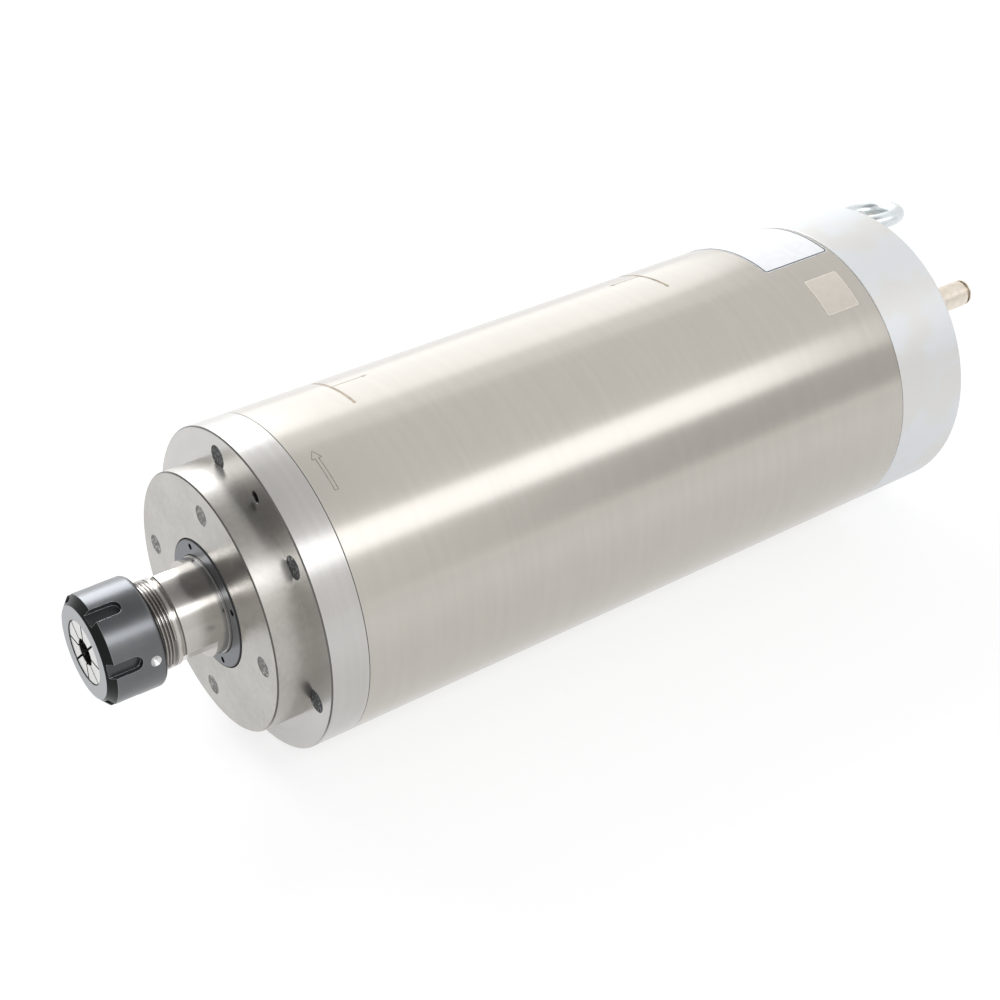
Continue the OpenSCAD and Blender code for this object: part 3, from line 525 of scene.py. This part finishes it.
def laser_mark(name, colour):
    """Burnt line of the marking laser: dull brown-grey, a little uneven."""
    finish = Finish(name)
    beads = finish.cloud(0.6 * MM, detail=2)
    drift = finish.cloud(6 * MM, detail=2)
    return finish.shade(
        base_color=finish.tones(
            (beads * 0.5 + drift * 0.5).above(0.35, 0.65), colour, 0.75, 1.3
        ),
        metallic=0.4,
        roughness=beads * 0.2 + 0.5,
        normal=finish.bump(beads, 20 * MICRON),
    )


# The finish of each slot of the record, and of the nodes that differ from their slot
SLOT_FINISH = {
    "ground_steel": (turned_steel, {"rough": 0.2}),
    "stainless": (
        turned_steel,
        {"rough": 0.17, "depth": 10 * MICRON, "pitch": 0.5 * MM, "patchy": 0.03},
    ),
    "cap_aluminium": (matte_aluminium, {}),
    "plain_aluminium": (turned_steel, {"rough": 0.3, "depth": 20 * MICRON, "pitch": 0.8 * MM}),
    "black_steel": (black_oxide, {}),
    "bearing_steel": (polished_steel, {}),
    "cage_resin": (woven_resin, {}),
    "core_steel": (laminated, {}),
    "copper": (turned_steel, {"rough": 0.3, "depth": 20 * MICRON}),
    "winding": (wound_copper, {}),
    "lead_cover": (moulded, {"rough": 0.5}),
    "black_rubber": (moulded, {"rough": 0.6, "grain": 0.4 * MM}),
    "zinc": (plated, {"rough": 0.14}),
    "nickel": (plated, {"rough": 0.36, "size": 3 * MM}),
    "fill_resin": (speckled_resin, {}),
    "insulator": (moulded, {"rough": 0.3}),
    "gold": (plated, {"rough": 0.2, "size": 2 * MM}),
    "dark_screw": (black_oxide, {"rough": 0.4}),
    "spring_steel": (black_oxide, {"rough": 0.3}),
}
NODE_FINISH = {
    "eyebolt": (plated, {"rough": 0.36}, (0.72, 0.76, 0.775)),
    "collet_nut": (
        black_oxide,
        {
            "rough": 0.3,
            "outside": (NUT_FACE_R, NUT_WALL_R, NUT_FACE_Y, NUT_CONE_SLOPE),
            "bare": (
                polar(DIMPLE_ANGLE, DIMPLE_BOTTOM_R, DIMPLE_Y),
                DIMPLE_SIZE,
                (0.7, 0.7, 0.7),
            ),
        },
        (0.144, 0.149, 0.154),
    ),
    "front_housing": (
        turned_steel,
        {"rough": 0.23, "depth": 8 * MICRON, "patchy": 0.035, "uneven": 0.02, "worn": 0.25},
        (0.515, 0.502, 0.485),
    ),
    "front_cover": (
        satin_face,
        {"rough": 0.25, "rim": COVER_RIM_R, "patchy": 0.09},
        (0.435, 0.42, 0.392),
    ),
    "barrel": (
        turned_steel,
        {"rough": 0.2, "depth": 8 * MICRON, "patchy": 0.02, "uneven": 0.015},
        (0.505, 0.48, 0.437),
    ),
    "rear_cap": (matte_aluminium, {}, (0.74, 0.742, 0.735)),
    "shaft": (
        turned_steel,
        {"rough": 0.21, "pitch": 0.35 * MM, "uneven": 0.03, "inner": THREAD_ROOT_SHADE, "worn": 0.25},
        (0.5, 0.48, 0.455),
    ),
    "dust_ring": (satin_face, {"rough": 0.3}, (0.145, 0.154, 0.166)),
    "collet": (turned_steel, {"rough": 0.28, "inner": COLLET_BORE_SHADE}, (0.64, 0.635, 0.62)),
    "flange_fills": (speckled_resin, {"contrast": 6.0}, (0.045, 0.048, 0.05)),
    "cover_fills": (speckled_resin, {"contrast": 1.5}, (0.38, 0.37, 0.35)),
}


# Mesh helpers


def finished(shape, name, body, materials):
    """Makes the shape a piece that rides on a body."""
    bmesh.ops.remove_doubles(shape, verts=shape.verts, dist=1e-8)
    bmesh.ops.recalc_face_normals(shape, faces=shape.faces)
    mesh = bpy.data.meshes.new(name)
    shape.to_mesh(mesh)
    shape.free()
    mesh.shade_smooth()
    mesh.set_sharp_from_angle(angle=math.radians(35))
    for material in materials:
        mesh.materials.append(material)
    piece = bpy.data.objects.new(name, mesh)
    bpy.context.scene.collection.objects.link(piece)
    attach(piece, body)


def sheet_object(shape, name, material):
    """An object of the stage, made of an open sheet."""
    mesh = bpy.data.meshes.new(name)
    shape.to_mesh(mesh)
    shape.free()
    mesh.materials.append(material)
    sheet = bpy.data.objects.new(name, mesh)
    bpy.context.scene.collection.objects.link(sheet)
    return sheet


def outline_face(shape, points):
    """One flat face through these points."""
    corners = [shape.verts.new(point) for point in points]
    return bmesh.ops.contextual_create(shape, geom=corners)["faces"][0]


def spun(shape, faces, angle, steps, climb=0.0):
    """Spins faces about the spindle axis, with a climb along it for a thread."""
    closed = climb == 0.0 and abs(angle - math.tau) < 1e-6
    geom = list(dict.fromkeys(e for f in faces for e in f.edges))
    if closed:
        bmesh.ops.delete(shape, geom=faces, context="FACES_ONLY")
    else:
        geom += faces
    bmesh.ops.spin(
        shape,
        geom=geom + list(dict.fromkeys(v for e in geom for v in e.verts)),
        cent=(0, 0, 0),
        axis=(0, 1, 0),
        dvec=(0, climb / steps, 0),
        angle=angle,
        steps=steps,
        use_merge=closed,
    )


def thread(shape, root_r, crest_r, pitch, start, end):
    """A right-hand outer thread whose ridge climbs from start to end."""
    steps_per_turn = 64
    sunk_r = root_r - 0.1 * MM
    foot, crest = 0.4 * pitch, 0.07 * pitch
    turns = (end - start) / pitch - 1
    middle = start + pitch / 2
    ridge = outline_face(
        shape,
        [
            (sunk_r, middle - foot, 0),
            (sunk_r, middle + foot, 0),
            (crest_r, middle + crest, 0),
            (crest_r, middle - crest, 0),
        ],
    )
    steps = round(turns * steps_per_turn)
    spun(shape, [ridge], turns * math.tau, steps, climb=turns * pitch)


def wrapped(shape, radius, angle):
    """Bends a flat shape, X along the arc and Z outwards, round the spindle axis."""
    for vert in shape.verts:
        turn = angle + math.degrees(vert.co.x / radius)
        vert.co = polar(turn, radius + vert.co.z, vert.co.y)


def stroke(shape, start, end, width, height, cell=1.5 * MM):
    """A flat bar from start to end, in arc length and station, cut to bend well."""
    start, end = Vector(start), Vector(end)
    way = end - start
    cells = max(1, round(way.length / cell))
    middle = (start + end) / 2
    turn = Matrix.Rotation(math.atan2(way.y, way.x), 4, "Z")
    size = Matrix.Diagonal((way.length / 2, width / 2, 1, 1))
    made = bmesh.ops.create_grid(
        shape,
        x_segments=cells,
        y_segments=1,
        size=1,
        matrix=Matrix.Translation((middle.x, middle.y, height)) @ turn @ size,
    )
    faces = list({f for v in made["verts"] for f in v.link_faces})
    bmesh.ops.solidify(shape, geom=faces, thickness=2 * height)


def slab(shape, width, length, height, corner, borders):
    """A flat label with round corners; each border is an inset of its own width."""
    made = bmesh.ops.create_grid(
        shape,
        x_segments=1,
        y_segments=1,
        size=1,
        matrix=Matrix.Translation((0, 0, height)) @ Matrix.Diagonal((width / 2, length / 2, 1, 1)),
    )
    bmesh.ops.bevel(
        shape,
        geom=made["verts"],
        offset=corner,
        offset_type="OFFSET",
        segments=5,
        profile=0.5,
        affect="VERTICES",
        material=-1,
    )
    for index, border in enumerate(borders):
        inner = [f for f in shape.faces if f.material_index == 0]
        ring = bmesh.ops.inset_region(
            shape, faces=inner, thickness=border, use_boundary=True, use_even_offset=True
        )
        for face in ring["faces"]:
            face.material_index = 1 + index
    cells = round(width / (1.5 * MM))
    for cut in range(1, cells):
        bmesh.ops.bisect_plane(
            shape,
            geom=shape.verts[:] + shape.edges[:] + shape.faces[:],
            plane_co=(width * (cut / cells - 0.5), 0, 0),
            plane_no=(1, 0, 0),
        )
    film = bmesh.ops.extrude_face_region(shape, geom=shape.faces[:])
    for vert in (item for item in film["geom"] if isinstance(item, bmesh.types.BMVert)):
        vert.co.z = height * 0.1


# Settings


class SpindleColours(bpy.types.PropertyGroup):
    """One colour for each material slot of the record."""

    __annotations__ = {
        slot: FloatVectorProperty(
            name=slot.replace("_", " ").capitalize(),
            description=f"Colour of the {slot.replace('_', ' ')}",
            default=colour[:3],
            min=0.0,
            max=1.0,
            subtype="COLOR",
        )
        for slot, colour in SLOT_COLOUR.items()
    }


class SpindleThreads(bpy.types.PropertyGroup):
    pitch: FloatProperty(
        name="Pitch",
        description="Pitch of the nose thread",
        default=1.5 * MM,
        min=0.5 * MM,
        max=3 * MM,
        unit="LENGTH",
    )
    root: FloatProperty(
        name="Root radius",
        description="Radius at the foot of the nose thread",
        default=19.15 * MM,
        unit="LENGTH",
    )
    crest: FloatProperty(
        name="Crest radius",
        description="Radius over the crests of the nose thread",
        default=19.98 * MM,
        unit="LENGTH",
    )
    relief: FloatProperty(
        name="Relief",
        description="Station where the nose thread runs out",
        default=-41.1 * MM,
        unit="LENGTH",
    )


class SpindleMarks(bpy.types.PropertyGroup):
    line: FloatProperty(
        name="Line width",
        description="Width of a thin laser line",
        default=0.32 * MM,
        unit="LENGTH",
    )
    zone_line: FloatProperty(
        name="Zone line width",
        description="Width of the arcs that end the clamping zone",
        default=1.3 * MM,
        unit="LENGTH",
    )
    zone_front: FloatProperty(
        name="Front of the clamping zone",
        description="Station of the front arc",
        default=60.5 * MM,
        unit="LENGTH",
    )
    zone_rear: FloatProperty(
        name="Rear of the clamping zone",
        description="Station of the rear arc",
        default=238.0 * MM,
        unit="LENGTH",
    )
    height: FloatProperty(
        name="Mark height",
        description="How far the burnt line stands proud of the steel",
        default=0.02 * MM,
        unit="LENGTH",
    )
    colour: FloatVectorProperty(
        name="Mark colour",
        description="Colour of the burnt steel",
        default=(0.35, 0.3, 0.23),
        min=0.0,
        max=1.0,
        subtype="COLOR",
    )


class SpindleLabels(bpy.types.PropertyGroup):
    film: FloatVectorProperty(
        name="Large label",
        description="Colour of the large blank label",
        default=(0.86, 0.87, 0.88),
        min=0.0,
        max=1.0,
        subtype="COLOR",
    )
    border: FloatVectorProperty(
        name="Border",
        description="Colour of the line round the large label",
        default=(0.10, 0.11, 0.12),
        min=0.0,
        max=1.0,
        subtype="COLOR",
    )
    small: FloatVectorProperty(
        name="Small label",
        description="Colour of the small blank label",
        default=(0.69, 0.635, 0.56),
        min=0.0,
        max=1.0,
        subtype="COLOR",
    )
    thickness: FloatProperty(
        name="Film thickness",
        description="Thickness of both labels",
        default=0.08 * MM,
        unit="LENGTH",
    )


class SpindleStudio(bpy.types.PropertyGroup):
    camera_place: FloatVectorProperty(
        name="Camera",
        description="Place of the camera",
        default=(0.58409, -0.28014, 0.48378),
        unit="LENGTH",
        subtype="TRANSLATION",
    )
    azimuth: FloatProperty(
        name="Azimuth",
        description="Direction from which the camera looks, round the vertical",
        default=math.radians(54.377),
        unit="ROTATION",
    )
    elevation: FloatProperty(
        name="Elevation",
        description="Direction from which the camera looks, above the horizon",
        default=math.radians(34.382),
        unit="ROTATION",
    )
    lens: FloatProperty(
        name="Lens",
        description="Focal length on a 36 mm sensor, in millimetres",
        default=65.967,
        min=10.0,
    )
    surround: FloatProperty(
        name="Surround",
        description="Strength of the even light all round",
        default=0.55,
        min=0.0,
    )
    strip: FloatProperty(
        name="Strip light",
        description="Brightness of the long strip light on the camera's side",
        default=1.2,
        min=0.0,
    )
    panel: FloatProperty(
        name="Panel light",
        description="Brightness of the wide light behind the spindle",
        default=0.8,
        min=0.0,
    )
    edge: FloatProperty(
        name="Edge light",
        description="Brightness of the faint light beside the panel, which softens its edge",
        default=0.24,
        min=0.0,
    )
    front: FloatProperty(
        name="Front lights",
        description="Brightness of the two lights beside the nose",
        default=4.8,
        min=0.0,
    )
    card_reach: FloatProperty(
        name="Nose card",
        description="Distance from the nose to the grey card over it",
        default=1.6,
        unit="LENGTH",
    )
    side_reach: FloatProperty(
        name="Side card",
        description="Distance from the axis to the grey card beside the barrel",
        default=1.3,
        unit="LENGTH",
    )
    floor: FloatVectorProperty(
        name="Floor",
        description="Colour of the floor",
        default=(0.36, 0.36, 0.36),
        min=0.0,
        max=1.0,
        subtype="COLOR",
    )


class SpindleLooks(bpy.types.PropertyGroup):
    colours: PointerProperty(type=SpindleColours)
    threads: PointerProperty(type=SpindleThreads)
    marks: PointerProperty(type=SpindleMarks)
    labels: PointerProperty(type=SpindleLabels)
    studio: PointerProperty(type=SpindleStudio)


# Operators


class SPINDLE_OT_finishes(bpy.types.Operator):
    """Gives every solid of the spindle its finish"""

    bl_idname = "spindle.finishes"
    bl_label = "Finishes"

    def execute(self, context):
        colours = context.scene.spindle.colours
        made = {}
        for node, piece in NODES.items():
            slot = SLOT_OF[node]
            recipe, sizes, *own = NODE_FINISH.get(node, SLOT_FINISH[slot])
            key = node if node in NODE_FINISH else slot
            if key not in made:
                colour = own[0] if own else getattr(colours, slot)
                made[key] = recipe(key, colour, **sizes)
            piece.data.materials.clear()
            piece.data.materials.append(made[key])
        return {"FINISHED"}


class SPINDLE_OT_nose_thread(bpy.types.Operator):
    """Cuts the crests of the thread that carries the collet nut"""

    bl_idname = "spindle.nose_thread"
    bl_label = "Nose thread"

    def execute(self, context):
        sizes = context.scene.spindle.threads
        shape = bmesh.new()
        thread(shape, sizes.root, sizes.crest, sizes.pitch, THREAD_END_Y + 0.9 * MM, sizes.relief)
        finished(
            shape, "nose_thread", "rotor", [bpy.data.materials["shaft"]]
        )
        return {"FINISHED"}


class SPINDLE_OT_body_seams(bpy.types.Operator):
    """Lays a dark line of painted shadow at the bottom of the seam at each end of the barrel"""

    bl_idname = "spindle.body_seams"
    bl_label = "Body seams"

    def execute(self, context):
        dark = laser_mark("seam_shadow", (0.08, 0.078, 0.075))
        for name, station, half in (
            ("front_seam", SEAM_Y, 0.11 * MM),
            ("rear_seam", CAP_SEAM_Y, 0.04 * MM),
        ):
            shape = bmesh.new()
            low, high = (BODY_R - depth for depth in SEAM_DEPTHS)
            face = outline_face(
                shape,
                [
                    (low, station - half, 0),
                    (low, station + half, 0),
                    (high, station + half, 0),
                    (high, station - half, 0),
                ],
            )
            spun(shape, [face], math.tau, 180)
            finished(shape, name, "housing", [dark])
        return {"FINISHED"}


class SPINDLE_OT_zone_marks(bpy.types.Operator):
    """Burns the arcs that end the clamping zone, each with an arrow into the zone"""

    bl_idname = "spindle.zone_marks"
    bl_label = "Clamping zone marks"

    def execute(self, context):
        marks = context.scene.spindle.marks
        burnt = laser_mark("burnt_line", marks.colour)
        for name, station, inwards, low, high, leader in (
            ("zone_mark_front", marks.zone_front, 1, -1.7, 27.0, 14.0),
            ("zone_mark_rear", marks.zone_rear, -1, 1.0, 30.0, 17.7),
        ):
            shape = bmesh.new()
            arc = math.radians(high - low) * BODY_R
            lead = math.radians(leader - low) * BODY_R
            tip = station + inwards * LEADER_LENGTH
            stroke(shape, (0, station), (arc, station), marks.zone_line, marks.height)
            stroke(shape, (lead, station), (lead, tip), marks.line * 1.3, marks.height, 18 * MM)
            for side in (-1, 1):
                barb = (lead + side * BARB_WIDTH, tip - inwards * BARB_LENGTH)
                stroke(shape, (lead, tip), barb, marks.line, marks.height * 0.9)
            wrapped(shape, BODY_R, low)
            finished(shape, name, "housing", [burnt])
        return {"FINISHED"}


class SPINDLE_OT_turning_arrow(bpy.types.Operator):
    """Burns the outlined arrow that shows which way the spindle turns"""

    bl_idname = "spindle.turning_arrow"
    bl_label = "Turning arrow"

    def execute(self, context):
        marks = context.scene.spindle.marks
        shape = bmesh.new()
        burnt = laser_mark("burnt_arrow", tone(marks.colour, 0.6))
        middle, half, wing = ARROW_STATION, 0.85 * MM, 2.4 * MM
        tail, neck, tip = (
            math.radians(angle - ARROW_TAIL) * BODY_R
            for angle in (ARROW_TAIL, ARROW_NECK, ARROW_TIP)
        )
        corners = [
            (tail, middle - half),
            (neck, middle - half),
            (neck, middle - wing),
            (tip, middle),
            (neck, middle + wing),
            (neck, middle + half),
            (tail, middle + half),
        ]
        for start, end in zip(corners, corners[1:] + corners[:1]):
            stroke(shape, start, end, marks.line * 0.8, marks.height)
        wrapped(shape, BODY_R, ARROW_TAIL)
        finished(shape, "turning_arrow", "housing", [burnt])
        return {"FINISHED"}


class SPINDLE_OT_labels(bpy.types.Operator):
    """Sticks the two blank labels on the barrel"""

    bl_idname = "spindle.labels"
    bl_label = "Blank labels"

    def execute(self, context):
        labels = context.scene.spindle.labels
        film = printed_film("label_film", labels.film)
        border = printed_film("label_border", labels.border)
        pale = printed_film("small_label_film", labels.small, rough=0.32)
        rim = printed_film("small_label_rim", tone(labels.small, 1.12), rough=0.32)
        large_angle = -11.0 + math.degrees(31 * MM / BODY_R)
        for name, size, corner, borders, station, angle, films in (
            (
                "large_label",
                (62 * MM, 41.4 * MM),
                2 * MM,
                (0.35 * MM, 0.85 * MM),
                307.1 * MM,
                large_angle,
                [film, film, border],
            ),
            (
                "small_label",
                (21.5 * MM, 20.8 * MM),
                1.2 * MM,
                (0.8 * MM,),
                310.2 * MM,
                -29.0,
                [pale, rim],
            ),
        ):
            shape = bmesh.new()
            slab(shape, *size, labels.thickness, corner, borders)
            for vert in shape.verts:
                vert.co.y += station
            wrapped(shape, BODY_R, angle)
            finished(shape, name, "housing", films)
        return {"FINISHED"}


class SPINDLE_OT_socket_thread(bpy.types.Operator):
    """Cuts the coupling thread on the shell of the power socket"""

    bl_idname = "spindle.socket_thread"
    bl_label = "Socket thread"

    def execute(self, context):
        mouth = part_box("connector_shell")[1].y
        root_r, crest_r, pitch = 17 * MM, 17.55 * MM, 1.5 * MM
        shape = bmesh.new()
        thread(shape, root_r, crest_r, pitch, mouth - 14 * MM, mouth - 0.8 * MM)
        nickel = bpy.data.materials["nickel"]
        finished(shape, "socket_thread", "housing", [nickel])
        return {"FINISHED"}


class SPINDLE_OT_studio(bpy.types.Operator):
    """Sets up the floor, the surround, the lights and the camera"""

    bl_idname = "spindle.studio"
    bl_label = "Studio"

    def execute(self, context):
        studio = context.scene.spindle.studio
        self.lay_floor(studio)
        self.hang_cards(studio)
        self.light(studio)
        self.surround(context.scene, studio)
        self.aim_camera(context.scene, studio)
        context.scene.view_settings.view_transform = "Standard"
        return {"FINISHED"}

    def lay_floor(self, studio):
        """A white sheet under the spindle, which glows more with the distance."""
        shape = bmesh.new()
        level = Matrix.Translation((0, 0, -BODY_R - FLOOR_GAP))
        bmesh.ops.create_grid(shape, x_segments=8, y_segments=8, size=6, matrix=level)
        finish = Finish("floor")
        paper = finish.cloud(0.4, detail=2)
        away = finish.node("VectorMath", {"operation": "LENGTH"}, {0: finish.coords()}, "Value")
        sheet = finish.node(
            "BsdfDiffuse", sockets={"Color": finish.tones(paper, studio.floor, 0.98, 1.02)}
        )
        strength = finish.seen() * (away.above(0.8, 3.0) * 0.3 + 0.7)
        glow = finish.node("Emission", sockets={"Color": (1, 1, 1, 1), "Strength": strength})
        both = finish.node("AddShader", sockets={0: sheet, 1: glow})
        output = finish.tree.nodes["Material Output"]
        finish.tree.links.new(both.socket, output.inputs["Surface"])
        floor = sheet_object(shape, "floor", finish.material)

    def hang_cards(self, studio):
        """Curved grey cards over the nose and beside the barrel, which only reflections show."""
        foot, end = math.radians(51), math.radians(108.5)
        forward, up = -studio.card_reach * math.cos(foot), studio.card_reach * math.sin(foot)
        over_nose = [(x, forward, up) for x in (-1.6, 1.1)]
        beside = [polar(-59, studio.side_reach, y) for y in (0.6, 2.0)]
        cloth = shaded_cloth("grey_cloth", [0.42] * 3, [0.3] * 3)
        veil = thin_veil("grey_veil", [0.3] * 3, 0.34)
        for name, points, axis, angle, material in (
            ("dark_card", over_nose, (-1, 0, 0), end - foot, cloth),
            ("side_card", beside, (0, 1, 0), math.radians(34), veil),
        ):
            shape = bmesh.new()
            corners = [shape.verts.new(point) for point in points]
            edge = shape.edges.new(corners)
            bmesh.ops.spin(
                shape,
                geom=[edge, *corners],
                cent=(0, 0, 0),
                axis=axis,
                angle=angle,
                steps=24,
                use_merge=False,
            )
            card = sheet_object(shape, name, material)
            card.visible_camera = card.visible_diffuse = card.visible_shadow = False

    def light(self, studio):
        """Area lights that face the axis; angles in degrees from the top, lengths in metres."""
        cool_white = (0.94, 0.96, 1)
        for name, glow, angle, distance, station, size in (
            ("strip_light", studio.strip, -47.0, 1.2, 0.7, (0.4, 1.0)),
            ("panel_light", studio.panel, 66.0, 1.5, 0.72, (1.3, 1.48)),
            ("edge_light", studio.edge, 34.0, 1.5, 0.4, (0.475, 2.0)),
            ("front_strip", studio.front, -46.0, 1.2, -0.16, (0.3, 0.96)),
            ("front_panel", studio.front, 57.5, 1.5, -0.02, (0.88, 1.14)),
        ):
            lamp = bpy.data.lights.new(name, "AREA")
            lamp.shape = "RECTANGLE"
            lamp.size, lamp.size_y = size
            lamp.energy = glow * math.pi * size[0] * size[1]
            lamp.color = cool_white
            item = bpy.data.objects.new(name, lamp)
            outwards = polar(angle, 1, 0)
            across = Vector((0, 1, 0)).cross(outwards)
            item.matrix_world = Matrix.Translation(polar(angle, distance, station)) @ Matrix(
                (across, (0, 1, 0), outwards)
            ).transposed().to_4x4()
            bpy.context.scene.collection.objects.link(item)

    def surround(self, scene, studio):
        """Warm white all round: full where it is seen, weaker where it gives light."""
        sky = Finish("surround", world=True)
        level = studio.surround
        scene.world = sky.shade(
            color=(1, 0.995, 0.985, 1), strength=sky.seen() * (1 - level) + level
        )

    def aim_camera(self, scene, studio):
        """The camera that was fitted to the photo."""
        lens = bpy.data.cameras.new("camera")
        lens.lens = studio.lens
        lens.sensor_width = 36
        camera = bpy.data.objects.new("camera", lens)
        a, e = studio.azimuth, studio.elevation
        back = Vector((math.sin(a) * math.cos(e), -math.cos(a) * math.cos(e), math.sin(e)))
        camera.location = studio.camera_place
        camera.rotation_mode = "QUATERNION"
        camera.rotation_quaternion = (-back).to_track_quat("-Z", "Y")
        scene.collection.objects.link(camera)
        scene.camera = camera


class SPINDLE_PT_looks(bpy.types.Panel):
    """Lists the settings and the steps that dress the spindle"""

    bl_idname = "SPINDLE_PT_looks"
    bl_label = "Spindle"
    bl_space_type = "VIEW_3D"
    bl_region_type = "UI"
    bl_category = "Spindle"

    def draw(self, context):
        looks = context.scene.spindle
        for group in (looks.colours, looks.threads, looks.marks, looks.labels, looks.studio):
            box = self.layout.box()
            for name in group.__annotations__:
                box.prop(group, name)
        for step in STEPS:
            self.layout.operator(step.bl_idname)


STEPS = (
    SPINDLE_OT_finishes,
    SPINDLE_OT_nose_thread,
    SPINDLE_OT_body_seams,
    SPINDLE_OT_zone_marks,
    SPINDLE_OT_turning_arrow,
    SPINDLE_OT_labels,
    SPINDLE_OT_socket_thread,
    SPINDLE_OT_studio,
)
SETTINGS = (
    SpindleColours,
    SpindleThreads,
    SpindleMarks,
    SpindleLabels,
    SpindleStudio,
    SpindleLooks,
)


def register():
    for kind in SETTINGS + STEPS + (SPINDLE_PT_looks,):
        bpy.utils.register_class(kind)
    bpy.types.Scene.spindle = PointerProperty(type=SpindleLooks)


def unregister():
    del bpy.types.Scene.spindle
    for kind in reversed(SETTINGS + STEPS + (SPINDLE_PT_looks,)):
        bpy.utils.unregister_class(kind)


def main():
    register()
    for step in STEPS:
        group, name = step.bl_idname.split(".")
        getattr(getattr(bpy.ops, group), name)()


if __name__ == "__main__":
    main()
